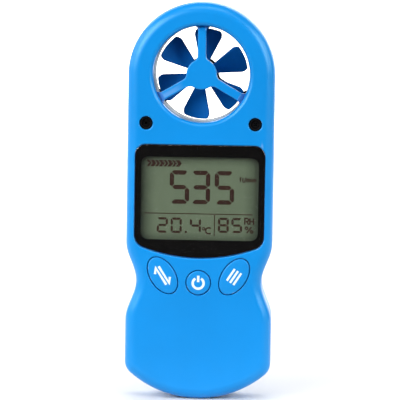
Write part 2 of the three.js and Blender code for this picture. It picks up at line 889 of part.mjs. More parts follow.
function mainBoard() {
  const half = [
    [0, 7],
    [13.5, 7],
    [13.5, 22],
    [15.8, 26],
    [15.8, 42],
    [18.8, 46],
    [18.8, 86],
    [14.5, 86],
    [11.5, 80],
    [0, 80],
  ].map(([x, z]) => new THREE.Vector2(x, z));
  const holes = BOARD_SCREW.places.map((place) =>
    disc(BOARD_SCREW.holeRadius, BOARD.frontY - PAST, BOARD.rearY + PAST, place, 16),
  );
  return cut(plate(mirrored(half), BOARD.frontY, BOARD.rearY), ...holes);
}

function tactSwitch() {
  const half = SWITCH.size / 2;
  return join(
    block([-half, half], [SWITCH.bodyFrontY, BOARD.frontY - BOARD.solder], [-half, half]),
    disc(SWITCH.plungerRadius, SWITCH.plungerY, SWITCH.bodyFrontY + 0.3, [0, 0], SMALL),
  );
}

// A chip under a dome of moulding compound.
function controllerBlob() {
  const { radius, height } = CONTROLLER;
  const base = BOARD.rearY + BOARD.solder;
  const dome = Array.from({ length: 6 }, (_, i) => {
    const turn = (Math.PI / 2) * (i / 5);
    return [radius * Math.cos(turn), base + height * Math.sin(turn)];
  });
  dome[5][0] = 0;
  return turned([[0, base], ...dome], [0, 0], 24);
}

function crystal() {
  const { halfWidth, halfLength, rearY } = CRYSTAL;
  const frontY = BOARD.rearY + BOARD.solder;
  return block([-halfWidth, halfWidth], [frontY, rearY], [-halfLength, halfLength]);
}

// A bead on two legs that stand on the board.
function thermistor() {
  const { beadRadius, beadY, legRadius, legX } = THERMISTOR;
  const bead = new THREE.SphereGeometry(beadRadius, 10, 8);
  bead.translate(0, beadY, 0);
  const footY = BOARD.frontY - BOARD.solder;
  const legs = [-legX, legX].map((x) => disc(legRadius, beadY, footY, [x, 0], 10));
  return join(toSolid(bead), ...legs);
}

function humiditySensor() {
  const { halfWidth, halfHeight, frontY } = HUMIDITY_SENSOR;
  const rearY = BOARD.frontY - BOARD.solder;
  return block([-halfWidth, halfWidth], [frontY, rearY], [-halfHeight, halfHeight]);
}

// The rubber connector between the panel's lower edge and the board.
function zebraStrip() {
  const { halfWidth, frontY, lowZ, highZ } = ZEBRA;
  return block([-halfWidth, halfWidth], [frontY, BOARD.frontY - BOARD.solder], [lowZ, highZ]);
}

// ---------------------------------------------------------------------------------------------
// Keys, caps and fasteners
// ---------------------------------------------------------------------------------------------

// A key cap, its retaining flange and the stem that reaches the switch.
function key(outlineAt) {
  const { crownY, flangeFrontY, flangeRearY, stemRadius, stemRearY, bevel, flangeMargin } = KEY;
  return join(
    plate(outlineAt(0), crownY, flangeRearY - 0.1, { bevel, steps: 3 }),
    plate(outlineAt(flangeMargin), flangeFrontY, flangeRearY),
    disc(stemRadius, flangeRearY - 0.3, stemRearY, [0, 0], SMALL),
  );
}

function sensorCap() {
  const frontY = CASE.frontY + CAP.recess;
  const flangeY = CASE.innerFrontY + 0.15;
  const rearY = flangeY + CAP.flangeThickness;
  const cup = frontY + CAP.cupDepth;
  return turned(
    [
      [CAP.ventRadius, cup],
      [CAP.cupRadius, cup],
      [CAP.cupRadius, frontY],
      [CAP.radius, frontY],
      [CAP.radius, flangeY],
      [CAP.flangeRadius, flangeY],
      [CAP.flangeRadius, rearY],
      [CAP.ventRadius, rearY],
      [CAP.ventRadius, cup],
    ],
    [0, 0],
    MEDIUM,
  );
}

// A pan-head screw with a cross recess, its head towards +Y, its seat at Y = 0.
function screw({ headRadius, headHeight, shankRadius }, length) {
  const body = turned(
    [
      [0, -length],
      [0.3 * shankRadius, -length],
      [shankRadius, -length + 1],
      [shankRadius, 0],
      [headRadius, 0],
      [headRadius, 0.55 * headHeight],
      [0.75 * headRadius, headHeight],
      [0, headHeight],
    ],
    [0, 0],
    12,
  );
  const long = 0.6 * headRadius;
  const short = 0.14 * headRadius;
  const deep = [0.45 * headHeight, headHeight + PAST];
  return cut(
    body,
    block([-long, long], deep, [-short, short]),
    block([-short, short], deep, [-long, long]),
  );
}

function coinCell() {
  const { radius, thickness } = CELL;
  const step = 0.5;
  return turned(
    [
      [0, 0],
      [radius - 1.3, 0],
      [radius - 1.3, step],
      [radius - 0.3, step],
      [radius, step + 0.3],
      [radius, thickness - 0.3],
      [radius - 0.3, thickness],
      [0, thickness],
    ],
    [0, 0],
    40,
  );
}

// A leaf under the cell's small pole with a leg down to the board.
function contactNegative() {
  const { thickness, clearance, legEndY, legHalfWidth, leafHalfWidth, leafLow, leafHigh } = CONTACT;
  const frontY = TRAY.floorRearY + clearance;
  const rearY = frontY + thickness;
  return join(
    block([-leafHalfWidth, leafHalfWidth], [frontY, rearY], [leafLow, leafHigh]),
    block([-legHalfWidth, legHalfWidth], [legEndY, rearY], [leafLow, leafLow + thickness]),
  );
}

// A strip beside the cell's rim with a leg down to the board.
function contactPositive() {
  const { thickness, rimGap, legEndY, legHalfWidth, leafHalfWidth, stripRearY } = CONTACT;
  const x = CELL.radius + rimGap;
  const stripFrontY = TRAY.floorRearY + 0.2;
  return join(
    block([x, x + thickness], [stripFrontY, stripRearY], [-leafHalfWidth, leafHalfWidth]),
    block([x, x + thickness], [legEndY, stripFrontY + 0.3], [-legHalfWidth, legHalfWidth]),
  );
}

// ---------------------------------------------------------------------------------------------
// Assembly
// ---------------------------------------------------------------------------------------------

const meter = new THREE.Group();

function groupAt(x, y, z) {
  const group = new THREE.Group();
  group.position.set(x, y, z);
  meter.add(group);
  return group;
}

function piece(parent, name, solid, material) {
  const mesh = new THREE.Mesh(toGeometry(solid), material);
  mesh.name = name;
  parent.add(mesh);
  return mesh;
}

piece(meter, "front_shell", frontShell(), MATERIAL.blueShell);
piece(meter, "rear_shell", rearShell(), MATERIAL.blueShell);
piece(meter, "battery_door", batteryDoor(), MATERIAL.blueShell);

const duct = groupAt(0, 0, DUCT.z);
const sleeve = ring(SLEEVE.innerRadius, SLEEVE.outerRadius, SLEEVE.frontY, SLEEVE.rearY);
piece(duct, "duct_sleeve", sleeve, MATERIAL.greySleeve);
piece(duct, "rear_guard", rearGuard(), MATERIAL.blackPlastic);
piece(duct, "rotor", rotor(), MATERIAL.navyVane);
piece(duct, "rotor_shaft", rotorShaft(), MATERIAL.steel);
const magnetY = ROTOR.hubRearY - MAGNET.pocketDepth + 0.1;
const magnet = ring(ROTOR.boreRadius, MAGNET.radius, magnetY, magnetY + MAGNET.length, MEDIUM);
piece(duct, "rotor_magnet", magnet, MATERIAL.magnet);
const bush = ring(BEARING.boreRadius, BEARING.outerRadius, 0, BEARING.length, SMALL);
const frontBushY = GUARD.bossY - BEARING.length - CONTACT.clearance;
piece(duct, "front_bearing", bush, MATERIAL.brass).position.y = frontBushY;
piece(duct, "rear_bearing", bush, MATERIAL.brass).position.y = REAR_GUARD.bossY + CONTACT.clearance;
piece(duct, "hall_sensor", hallSensor(), MATERIAL.epoxy);
piece(duct, "hall_ribbon", hallRibbon(), MATERIAL.ribbon).rotation.y = -degrees(RIBBON.spokeAngle);

piece(meter, "display_lens", displayLens(), MATERIAL.clearAcrylic);
piece(meter, "lens_gasket", lensGasket(), MATERIAL.blackInk);

// The display panel's layers, front to back.
const filmX = LCD.halfWidth - LCD.filmInset;
const paneX = LCD.halfWidth;
const frontZ = [LCD.frontPaneLowZ, LCD.topZ];
const rearZ = [LCD.rearPaneLowZ, LCD.topZ];
const polariserZ = [LCD.frontPaneLowZ + LCD.filmInset, LCD.topZ - LCD.filmInset];
const layers = [
  ["lcd_polariser", filmX, LCD.polariserY, polariserZ, MATERIAL.displayFilm],
  ["lcd_front_pane", paneX, LCD.frontPaneY, frontZ, MATERIAL.displayGlass],
  ["lcd_rear_pane", paneX, LCD.rearPaneY, rearZ, MATERIAL.displayGlass],
  ["lcd_reflector", filmX, LCD.reflectorY, rearZ, MATERIAL.displayFilm],
];
for (const [name, x, yRange, zRange, material] of layers) {
  piece(meter, name, block([-x, x], yRange, zRange), material);
}
piece(meter, "lcd_frame", lcdFrame(), MATERIAL.whitePlastic);
piece(meter, "zebra_strip", zebraStrip(), MATERIAL.rubber);

piece(meter, "main_board", mainBoard(), MATERIAL.board);
piece(groupAt(0, 0, CONTROLLER.z), "controller", controllerBlob(), MATERIAL.epoxy);
piece(groupAt(CRYSTAL.x, 0, CRYSTAL.z), "crystal", crystal(), MATERIAL.steel);
piece(groupAt(-CAP.x, 0, CAP.z), "thermistor", thermistor(), MATERIAL.epoxy);
piece(groupAt(CAP.x, 0, CAP.z), "humidity_sensor", humiditySensor(), MATERIAL.whitePlastic);

const keys = [
  ["units", [-OVAL_KEY.x, OVAL_KEY.z], (margin) => rotated(ovalOutline(margin), ovalKeyTilt(-1))],
  ["power", [0, ROUND_KEY.z], (margin) => circleOutline(ROUND_KEY.radius + margin)],
  ["set", [OVAL_KEY.x, OVAL_KEY.z], (margin) => rotated(ovalOutline(margin), ovalKeyTilt(1))],
];
for (const [name, [x, z], outlineAt] of keys) {
  const place = groupAt(x, 0, z);
  piece(place, name + "_button", key(outlineAt), MATERIAL.blueKey);
  piece(place, name + "_switch", tactSwitch(), MATERIAL.blackPlastic);
}

piece(groupAt(-CAP.x, 0, CAP.z), "sensor_cap_left", sensorCap(), MATERIAL.blackPlastic);
piece(groupAt(CAP.x, 0, CAP.z), "sensor_cap_right", sensorCap(), MATERIAL.blackPlastic);

CASE_SCREW.places.forEach(([x, z], i) => {
  const seatY = CASE_SCREW.sinkY + 0.05;
  const solid = screw(CASE_SCREW, seatY - CASE_SCREW.tipY);
  piece(groupAt(x, seatY, z), "case_screw_" + (i + 1), solid, MATERIAL.steel);
});
BOARD_SCREW.places.forEach(([x, z], i) => {
  const seatY = BOARD.rearY + BOARD.solder;
  const solid = screw(BOARD_SCREW, seatY - BOARD_SCREW.tipY);
  piece(groupAt(x, seatY, z), "board_screw_" + (i + 1), solid, MATERIAL.steel);
});

const cellPlace = groupAt(0, 0, CELL.z);
piece(cellPlace, "coin_cell", coinCell(), MATERIAL.steel).position.y = CELL.frontY;
piece(cellPlace, "contact_negative", contactNegative(), MATERIAL.brass);
piece(cellPlace, "contact_positive", contactPositive(), MATERIAL.brass);

export default meter;
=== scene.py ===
"""The looks of a pocket wind, temperature and humidity meter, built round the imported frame.

Shapes are made in millimetres and scaled to metres when they are finished.
+Z runs up the meter, its face looks along -Y, and X = 0 is its middle plane.
"""

import json
import math

import bmesh
import bpy
from mathutils import Matrix, Vector


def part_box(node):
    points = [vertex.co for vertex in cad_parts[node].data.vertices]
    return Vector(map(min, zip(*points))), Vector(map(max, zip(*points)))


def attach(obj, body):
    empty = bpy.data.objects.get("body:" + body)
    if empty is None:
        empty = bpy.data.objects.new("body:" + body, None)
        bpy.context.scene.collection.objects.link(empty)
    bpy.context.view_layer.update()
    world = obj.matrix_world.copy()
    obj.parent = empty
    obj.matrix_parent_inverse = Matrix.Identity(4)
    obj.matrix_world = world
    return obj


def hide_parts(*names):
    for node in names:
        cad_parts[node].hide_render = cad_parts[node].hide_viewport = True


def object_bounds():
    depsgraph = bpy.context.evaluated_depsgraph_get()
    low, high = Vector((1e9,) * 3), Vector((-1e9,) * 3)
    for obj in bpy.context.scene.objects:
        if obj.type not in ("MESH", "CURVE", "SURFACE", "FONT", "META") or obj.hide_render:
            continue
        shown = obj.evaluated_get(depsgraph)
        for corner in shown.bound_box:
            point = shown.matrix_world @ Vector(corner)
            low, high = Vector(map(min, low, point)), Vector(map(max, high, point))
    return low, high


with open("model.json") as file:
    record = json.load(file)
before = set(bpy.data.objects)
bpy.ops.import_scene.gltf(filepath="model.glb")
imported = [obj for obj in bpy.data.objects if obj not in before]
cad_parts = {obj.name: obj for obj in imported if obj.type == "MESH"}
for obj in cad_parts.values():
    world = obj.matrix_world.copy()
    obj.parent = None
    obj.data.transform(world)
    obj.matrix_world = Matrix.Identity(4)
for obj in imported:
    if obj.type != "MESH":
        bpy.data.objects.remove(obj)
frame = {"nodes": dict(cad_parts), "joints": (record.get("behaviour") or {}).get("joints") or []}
cad_low, cad_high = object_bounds()

MM = 0.001

# ---- Places and sizes that come from the frame, in millimetres ----


def span(node):
    low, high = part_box(node)
    return low / MM, high / MM


def middle(node):
    low, high = span(node)
    return (low + high) / 2


def joint_named(name):
    return next(joint for joint in frame["joints"] if joint["name"] == name)


FRONT_LOW, FRONT_HIGH = span("front_shell")
FACE_Y = FRONT_LOW.y
BACK_Y = span("rear_shell")[1].y
HALF_WIDTH = FRONT_HIGH.x
HEIGHT = FRONT_HIGH.z
DUCT_Z = joint_named("rotor_spin")["pos_m"][2] / MM
SLEEVE_LOW, SLEEVE_HIGH = span("duct_sleeve")
ROTOR_LOW, ROTOR_HIGH = span("rotor")
REAR_GUARD_LOW, REAR_GUARD_HIGH = span("rear_guard")
LENS_LOW, LENS_HIGH = span("display_lens")
GASKET_LOW, GASKET_HIGH = span("lens_gasket")
FILM_Y = span("lcd_polariser")[0].y
LEFT_KEY, RIGHT_KEY = middle("units_button"), middle("set_button")
ROUND_KEY = middle("power_button")
KEY_CROWN_Y = span("power_button")[0].y
KEY_REAR_Y = span("power_button")[1].y
CAP_LEFT, CAP_RIGHT = middle("sensor_cap_left"), middle("sensor_cap_right")
DOOR_LATCH_TOP = span("battery_door")[1].z
CELL = middle("coin_cell")
CASE_SCREWS = [middle(f"case_screw_{i}") for i in (1, 2, 3, 4)]
BOARD_SCREWS = [middle(f"board_screw_{i}") for i in (1, 2, 3, 4)]

# ---- Shape dimensions, in millimetres ----

EDGE_RADIUS = 3.4
WALL = 1.8
INNER_FACE_Y = FACE_Y + WALL
INNER_BACK_Y = BACK_Y - WALL
BASE_RADIUS = 31.0
BASE_CORNER = 4.7
WAIST_Z, WAIST_HALF, WAIST_DEPTH = 35.15, 11.65, 3.05
SEAM, SEAM_CHAMFER = 0.16, 0.12
TONGUE_INSET, TONGUE_END = 1.05, 1.2
REBATE_INSET, REBATE_END = 0.9, 1.4
BOSS_ROOM = 0.2
KEY_HOLE_ROUND, CAP_HOLE_ROUND, SINK_ROUND, POCKET_ROUND = 0.15, 0.35, 0.25, 0.22

MOUTH_RADIUS, LIP_RADIUS = 14.3, 1.3
SEAT_RADIUS, SKIRT_RADIUS = 15.05, 16.4
FRONT_SHOULDER_Y, REAR_SHOULDER_Y = -4.8, 6.8

HUB_RADIUS, REAR_HUB_RADIUS, SPOKE_HALF = 4.5, 4.7, 1.225
HUB_FILLET, WALL_FLARE, SPOKE_ROOT, RIM_ROOT = 2.0, 1.4, 0.15, 0.1
GUARD_FRONT_Y, GUARD_REAR_Y = -7.2, -5.0
GUARD_EDGE = 0.35
TAPER_RADIUS, TAPER_SLOPE = 12.9, 0.85
BOSS_RADIUS, FRONT_BOSS_Y = 2.5, -3.75
BEARING_RADIUS, BEARING_DEPTH = 1.6, 1.3
SHAFT_HOLE_RADIUS, SHAFT_HOLE_DEPTH = 0.86, 1.9
REAR_SPOKES_Y, REAR_RIM_FRONT_Y = (4.3, 6.3), 4.1
RIM_INNER, SLEEVE_CHAMFER = 14.1, 0.25
RIBBON_SLOT, RIBBON_TURN = ((13.2, 17.9), (3.7, 4.3), (-1.1, 1.1)), -210.0

BLADES, FIRST_BLADE = 6, 22.0
BLADE_HALF_ANGLE, BLADE_PITCH, BLADE_THICKNESS = 19.2, 32.0, 0.8
BLADE_TIP, BLADE_CORNER = 13.45, 1.5
BLADE_EDGE, BLADE_ROOT = 0.3, 0.8
ROTOR_HUB, ROTOR_NOSE, ROTOR_BORE = 3.5, 1.2, 0.7
MAGNET_BORE, MAGNET_DEPTH = 2.6, 1.3

LENS_TOP_CORNER, LENS_BASE_RADIUS, LENS_LOW_CORNER = 3.25, 48.4, 4.0
LENS_GAP, LENS_POCKET_Y, LENS_PAD_Y, LENS_PAD_INSET = 0.15, -7.3, -6.4, 0.2
WINDOW_HALF, WINDOW_LOW, WINDOW_HIGH, WINDOW_CORNER = 17.35, 47.7, 72.3, 2.2
WINDOW_ROOM = 0.5

OVAL_LONG, OVAL_SHORT, OVAL_TILT = 5.95, 3.62, 57.0
ROUND_RADIUS = 3.55
KEY_GAP, KEY_EDGE = 0.25, 0.4
FLANGE_MARGIN, FLANGE_FRONT_Y, FLANGE_REAR_Y = 0.7, -6.85, -6.2
KEY_STEM_RADIUS, KEY_CORE = 1.2, 0.3

CAP_HOLE, CAP_RADIUS, CAP_FLANGE_GAP, CAP_DISH = 1.98, 1.84, 0.15, 0.8

BOSS_FRONT, BOSS_REAR, POST_RADIUS = 2.2, 2.9, 1.8
BOARD_FRONT_Y = -1.65
PILOT_CASE, PILOT_BOARD, CLEAR_HOLE = 0.9, 0.85, 1.2
PILOT_CASE_END, PILOT_BOARD_END = -5.1, -5.5
SINK_RADIUS, SINK_Y = 2.15, 5.0

TRAY_BORE, TRAY_OUTER, TRAY_FLOOR = 10.4, 11.7, (2.4, 3.4)
SIDE_CONTACT_X, SIDE_CONTACT_HALF = (10.0, 11.0), 3.5
FLOOR_CONTACT_HALF, FLOOR_CONTACT_Y, FLOOR_CONTACT_DROP = 1.5, 3.9, (7.7, 6.45)
CONTACT_SLOT_Y = 1.4
DOOR_HALF, DOOR_TOP, DOOR_INNER_Y, DOOR_GAP, DOOR_PLAY = 11.3, 29.7, 7.15, 0.3, 0.2
DOOR_TONGUE_HALF, DOOR_TONGUE_Y, DOOR_TONGUE_Z = 12.4, 8.0, (4.0, 29.2)
DOOR_LATCH_HALF, DOOR_LATCH_Y = 4.0, 7.9
DECK_HALF, DECK_FRONT_Y, DECK_ABOVE_DOOR = 14.0, 5.2, 2.5
GROOVES, GROOVE_PITCH, GROOVE_TOP, GROOVE_HALF = 5, 1.6, 24.5, 5.0
GROOVE_DEPTH, GROOVE_ROUND = 0.35, 0.15

# Shares of a screw's head radius, shank radius and head height.
SCREW_SHANK, SCREW_POINT, SCREW_RIM = 0.42, 0.3, 0.45
CROSS_LONG, CROSS_WIDE = 0.6, 0.15

# How far a cutter runs past a surface, and how deep joined solids sink into each other.
PAST, OVERLAP = 1.0, 0.5
ROUND_STEPS, SIDE_STEPS, SIDES = 10, 36, 144

# ---- Solids ----


def linked(name, data):
    """A new object in the scene."""
    made = bpy.data.objects.new(name, data)
    bpy.context.scene.collection.objects.link(made)
    return made


def solid_from(build):
    """An object whose mesh build(bm) fills."""
    bm = bmesh.new()
    build(bm)
    bmesh.ops.recalc_face_normals(bm, faces=bm.faces)
    mesh = bpy.data.meshes.new("solid")
    bm.to_mesh(mesh)
    bm.free()
    return linked("solid", mesh)


def loft(rings, ends=True):
    """A closed solid through rings of equal length: capped at both ends, or joined end to end."""

    def build(bm):
        loops = [[bm.verts.new(point) for point in ring] for ring in rings]
        pairs = list(zip(loops, loops[1:]))
        if ends:
            bm.faces.new(loops[0])
            bm.faces.new(loops[-1])
        else:
            pairs.append((loops[-1], loops[0]))
        count = len(rings[0])
        for near, far in pairs:
            for i in range(count):
                j = (i + 1) % count
                bm.faces.new((near[i], near[j], far[j], far[i]))

    return solid_from(build)


def plate(outline, profile):
    """outline(inset), a list of (x, z), at each (y, inset) of profile."""
    return loft([[(x, y, z) for x, z in outline(inset)] for y, inset in profile])


def turned(profile, x=0.0, z=0.0, sides=SIDES, ends=True):
    """A profile of (radius, y) turned about the Y direction through (x, z)."""
    turns = [2 * math.pi * i / sides for i in range(sides)]
    rings = [
        [(x + radius * math.cos(t), y, z + radius * math.sin(t)) for t in turns]
        for radius, y in profile
    ]
    return loft(rings, ends)


def disc(radius, y0, y1, x=0.0, z=0.0, sides=48):
    return turned([(radius, y0), (radius, y1)], x, z, sides)


def discs(radius, y0, y1, places):
    return [disc(radius, y0, y1, place.x, place.z) for place in places]


def block(xs, ys, zs):
    corners = [(xs[0], zs[0]), (xs[1], zs[0]), (xs[1], zs[1]), (xs[0], zs[1])]
    return loft([[(x, y, z) for x, z in corners] for y in ys])


def combine(target, operation, tools):
    """Applies a boolean operation with every tool to target, and removes the tools."""
    for tool in tools:
        modifier = target.modifiers.new("boolean", "BOOLEAN")
        modifier.operation = operation
        modifier.solver = "MANIFOLD"
        modifier.object = tool
    depsgraph = bpy.context.evaluated_depsgraph_get()
    mesh = bpy.data.meshes.new_from_object(target.evaluated_get(depsgraph))
    target.modifiers.clear()
    target.data = mesh
    for tool in tools:
        bpy.data.objects.remove(tool)
    return target


def join(target, *tools):
    return combine(target, "UNION", tools)


def cut(target, *tools):
    return combine(target, "DIFFERENCE", tools)


def intersect(target, *tools):
    return combine(target, "INTERSECT", tools)


def moved(target, matrix):
    target.data.transform(matrix)
    return target


# ---- Profiles: lists of (y, inset) ----


def quarter_turn(steps):
    """The angles from 0 to 90 degrees."""
    return [math.pi / 2 * i / steps for i in range(steps + 1)]


def rounded(y0, y1, front=0.0, back=0.0, steps=ROUND_STEPS):
    """A plate's sides, with its edges rounded to the radii front and back."""
    profile = []
    for turn in quarter_turn(steps) if front else [0.0]:
        profile.append((y0 + front * (1 - math.cos(turn)), front * (1 - math.sin(turn))))
    for turn in quarter_turn(steps) if back else [0.0]:
        profile.append((y1 - back * (1 - math.sin(turn)), back * (1 - math.cos(turn))))
    return profile


def flared(face_y, end_y, radius, steps=6):
    """A cutter that rounds the rim where it enters a face at face_y, on its way to end_y."""
    inward = math.copysign(1.0, end_y - face_y)
    profile = [(face_y - inward * PAST, -radius)]
    for turn in quarter_turn(steps):
        depth = radius * (1 - math.cos(turn))
        profile.append((face_y + inward * depth, -radius * (1 - math.sin(turn))))
    profile.append((end_y, 0.0))
    return profile


# ---- Outlines: lists of (x, z), counter-clockwise, that an inset shrinks ----


def arc(centre, radius, start, stop, steps):
    turns = [start + (stop - start) * i / steps for i in range(steps + 1)]
    return [(centre[0] + radius * math.cos(t), centre[1] + radius * math.sin(t)) for t in turns]


def mirrored(right_half):
    """Completes an outline from its right half, which starts and ends on X = 0."""
    return right_half + [(-x, z) for x, z in reversed(right_half[1:-1])]


def base_and_corner(half, low, base_radius, corner, inset, steps):
    base_z = low + base_radius
    x = half - corner
    z = base_z - math.sqrt((base_radius - corner) ** 2 - x**2)
    turn = math.atan2(x, base_z - z) - math.pi / 2
    base = arc((0.0, base_z), base_radius - inset, -math.pi / 2, turn, 2 * steps)
    return base + arc((x, z), corner - inset, turn, 0.0, steps)[1:]


def case_outline(inset):
    waist = []
    for i in range(-20, 21):
        along = i / 20
        narrower = WAIST_DEPTH * (0.5 + 0.5 * math.cos(math.pi * along))
        waist.append((HALF_WIDTH - inset - narrower, WAIST_Z + WAIST_HALF * along))
    crown_z, waist_top = HEIGHT - HALF_WIDTH, WAIST_Z + WAIST_HALF
    side = []
    for i in range(1, SIDE_STEPS):
        side.append((HALF_WIDTH - inset, waist_top + (crown_z - waist_top) * i / SIDE_STEPS))
    crown = arc((0.0, crown_z), HALF_WIDTH - inset, 0.0, math.pi / 2, 48)
    low = base_and_corner(HALF_WIDTH, 0.0, BASE_RADIUS, BASE_CORNER, inset, 14)
    return mirrored(low + waist + side + crown)


def lens_outline(inset):
    half, top = LENS_HIGH.x, LENS_HIGH.z
    corner = LENS_TOP_CORNER
    low = base_and_corner(half, LENS_LOW.z, LENS_BASE_RADIUS, LENS_LOW_CORNER, inset, 14)
    upper = arc((half - corner, top - corner), corner - inset, 0.0, math.pi / 2, 16)
    return mirrored(low + upper + [(0.0, top - inset)])


def rectangle(half, low, high, corner):
    """The outline of a rectangle about X = 0 with round corners."""
    x, lower, upper = half - corner, low + corner, high - corner
    quarter = math.pi / 2

    def outline(inset):
        points = []
        for i, centre in enumerate(((x, lower), (x, upper), (-x, upper), (-x, lower)), -1):
            points += arc(centre, corner - inset, i * quarter, (i + 1) * quarter, 12)
        return points

    return outline


def oval(centre, side, margin=0.0):
    """An oval key's outline. The left key leans to the upper left, the right one mirrors it."""
    tilt = math.radians(OVAL_TILT if side > 0 else 180.0 - OVAL_TILT)

    def outline(inset):
        points = []
        for i in range(96):
            turn = 2 * math.pi * i / 96
            along = (OVAL_LONG + margin - inset) * math.cos(turn)
            across = (OVAL_SHORT + margin - inset) * math.sin(turn)
            x = along * math.cos(tilt) - across * math.sin(tilt)
            z = along * math.sin(tilt) + across * math.cos(tilt)
            points.append((centre.x + x, centre.z + z))
        return points

    return outline


def circle(centre, radius, sides=96):
    """The outline of a circle."""

    def outline(inset):
        return arc((centre.x, centre.z), radius - inset, 0.0, 2 * math.pi, sides)[:-1]

    return outline


def spider(hub_radius, wall_radius, reach):
    """A hub with three filleted spokes that flare into a wall at wall_radius."""
    hub_side = SPOKE_HALF + HUB_FILLET
    hub_along = math.sqrt((hub_radius + HUB_FILLET) ** 2 - hub_side**2)
    wall_side = SPOKE_HALF + WALL_FLARE
    wall_along = math.sqrt((wall_radius - WALL_FLARE) ** 2 - wall_side**2)
    hub_turn = math.atan2(hub_side, hub_along)
    wall_turn = math.atan2(wall_side, wall_along)
    quarter = math.pi / 2

    def outline(inset):
        side = arc((hub_along, -hub_side), HUB_FILLET + inset, math.pi - hub_turn, quarter, 12)
        side += arc((wall_along, -wall_side), WALL_FLARE + inset, quarter, -wall_turn, 12)
        side.append((reach * math.cos(wall_turn), -reach * math.sin(wall_turn)))
        other = [(x, -z) for x, z in reversed(side)]
        gap = math.radians(120.0) - hub_turn
        hub = arc((0.0, 0.0), hub_radius - inset, hub_turn, gap, 16)[1:-1]
        points = []
        for spoke in (90.0, 210.0, 330.0):
            c, s = math.cos(math.radians(spoke)), math.sin(math.radians(spoke))
            points += [(x * c - z * s, x * s + z * c + DUCT_Z) for x, z in side + other + hub]
        return points

    return outline


# ---- Materials ----

WHITE = (1.0, 1.0, 1.0)
# The photo's highlights on the blue plastic are cyan, so its gloss is tinted to match.
CYAN_GLOSS = (0.6, 1.0, 1.0)
# The pointiness at which a tight edge starts to turn paler and is fully paler, and how much paler it
# gets. The paler edges are partly wear and partly a painted highlight.
PALE_EDGE_FROM, PALE_EDGE_TO, PALE_EDGE_SHARE = 0.53, 0.6, 0.3
# Noise scales, in cells per metre.
PATCHES, POLISH, METAL_PATCHES, TRACKS = 45.0, 380.0, 700.0, 900.0


def shader(name, colour, roughness, metallic=0.0):
    """A new material and its Principled node."""
    material = bpy.data.materials.new(name)
    material.use_nodes = True
    bsdf = material.node_tree.nodes["Principled BSDF"]
    bsdf.inputs["Base Color"].default_value = (*colour, 1.0)
    bsdf.inputs["Roughness"].default_value = roughness
    bsdf.inputs["Metallic"].default_value = metallic
    return material, bsdf


def noise(tree, scale, detail=3.0):
    """Noise in the object's own coordinates."""
    place = tree.nodes.new("ShaderNodeTexCoord")
    texture = tree.nodes.new("ShaderNodeTexNoise")
    texture.inputs["Scale"].default_value = scale
    texture.inputs["Detail"].default_value = detail
    tree.links.new(place.outputs["Object"], texture.inputs["Vector"])
    return texture.outputs["Fac"]


def ranged(tree, value, low, high, start=0.3, stop=0.7):
    node = tree.nodes.new("ShaderNodeMapRange")
    node.inputs["From Min"].default_value = start
    node.inputs["From Max"].default_value = stop
    node.inputs["To Min"].default_value = low
    node.inputs["To Max"].default_value = high
    tree.links.new(value, node.inputs["Value"])
    return node.outputs["Result"]


def mixed(tree, factor, first, second):
    node = tree.nodes.new("ShaderNodeMix")
    node.data_type = "RGBA"
    tree.links.new(factor, node.inputs["Factor"])
    for socket, colour in (("A", first), ("B", second)):
        into = next(s for s in node.inputs if s.name == socket and s.type == "RGBA")
        if isinstance(colour, bpy.types.NodeSocket):
            tree.links.new(colour, into)
        else:
            into.default_value = (*colour, 1.0)
    return next(s for s in node.outputs if s.type == "RGBA")


def scaled(colour, factor):
    return tuple(min(1.0, channel * factor) for channel in colour)


def mottled(tree, colour, scale, dark=0.95, light=1.0):
    """The colour, varied in patches between a darker and a lighter shade of it."""
    patches = ranged(tree, noise(tree, scale), 0.0, 1.0)
    return mixed(tree, patches, scaled(colour, dark), scaled(colour, light))


def roughened(tree, bsdf, height, strength, distance):
    """A bump of the given height in metres."""
    bump = tree.nodes.new("ShaderNodeBump")
    bump.inputs["Strength"].default_value = strength
    bump.inputs["Distance"].default_value = distance
    tree.links.new(height, bump.inputs["Height"])
    tree.links.new(bump.outputs["Normal"], bsdf.inputs["Normal"])


def moulded(name, colour, roughness, specular=0.5, grain=0.25, grain_scale=3500.0, edge_wear_and_highlight=0.0, tint=WHITE):
    """Moulded plastic: faint patchy tone and gloss variation, a fine grain, and paler tight edges that
    are partly wear and partly a painted highlight.
    """
    material, bsdf = shader(name, colour, roughness)
    tree = material.node_tree
    bsdf.inputs["Specular IOR Level"].default_value = specular
    bsdf.inputs["Specular Tint"].default_value = (*tint, 1.0)
    shade = mottled(tree, colour, PATCHES, light=1.04)
    # Tight edges turn paler: partly wear, partly a painted highlight.
    if edge_wear_and_highlight:
        geometry = tree.nodes.new("ShaderNodeNewGeometry")
        edge = ranged(tree, geometry.outputs["Pointiness"], 0.0, edge_wear_and_highlight, PALE_EDGE_FROM, PALE_EDGE_TO)
        paler = tuple((1.0 - PALE_EDGE_SHARE) * channel + PALE_EDGE_SHARE for channel in colour)
        shade = mixed(tree, edge, shade, paler)
    tree.links.new(shade, bsdf.inputs["Base Color"])
    gloss = ranged(tree, noise(tree, POLISH), roughness - 0.02, roughness + 0.03, 0.2, 0.8)
    tree.links.new(gloss, bsdf.inputs["Roughness"])
    roughened(tree, bsdf, noise(tree, grain_scale, 2.0), grain, 0.02 * MM)
    return material


def metal(name, colour, roughness, scratch_scale=2200.0):
    """Plated metal with a fine uneven polish."""
    material, bsdf = shader(name, colour, roughness, 1.0)
    tree = material.node_tree
    tree.links.new(mottled(tree, colour, METAL_PATCHES), bsdf.inputs["Base Color"])
    gloss = ranged(tree, noise(tree, scratch_scale), roughness - 0.03, roughness + 0.05)
    tree.links.new(gloss, bsdf.inputs["Roughness"])
    roughened(tree, bsdf, noise(tree, scratch_scale), 0.05, 0.01 * MM)
    return material


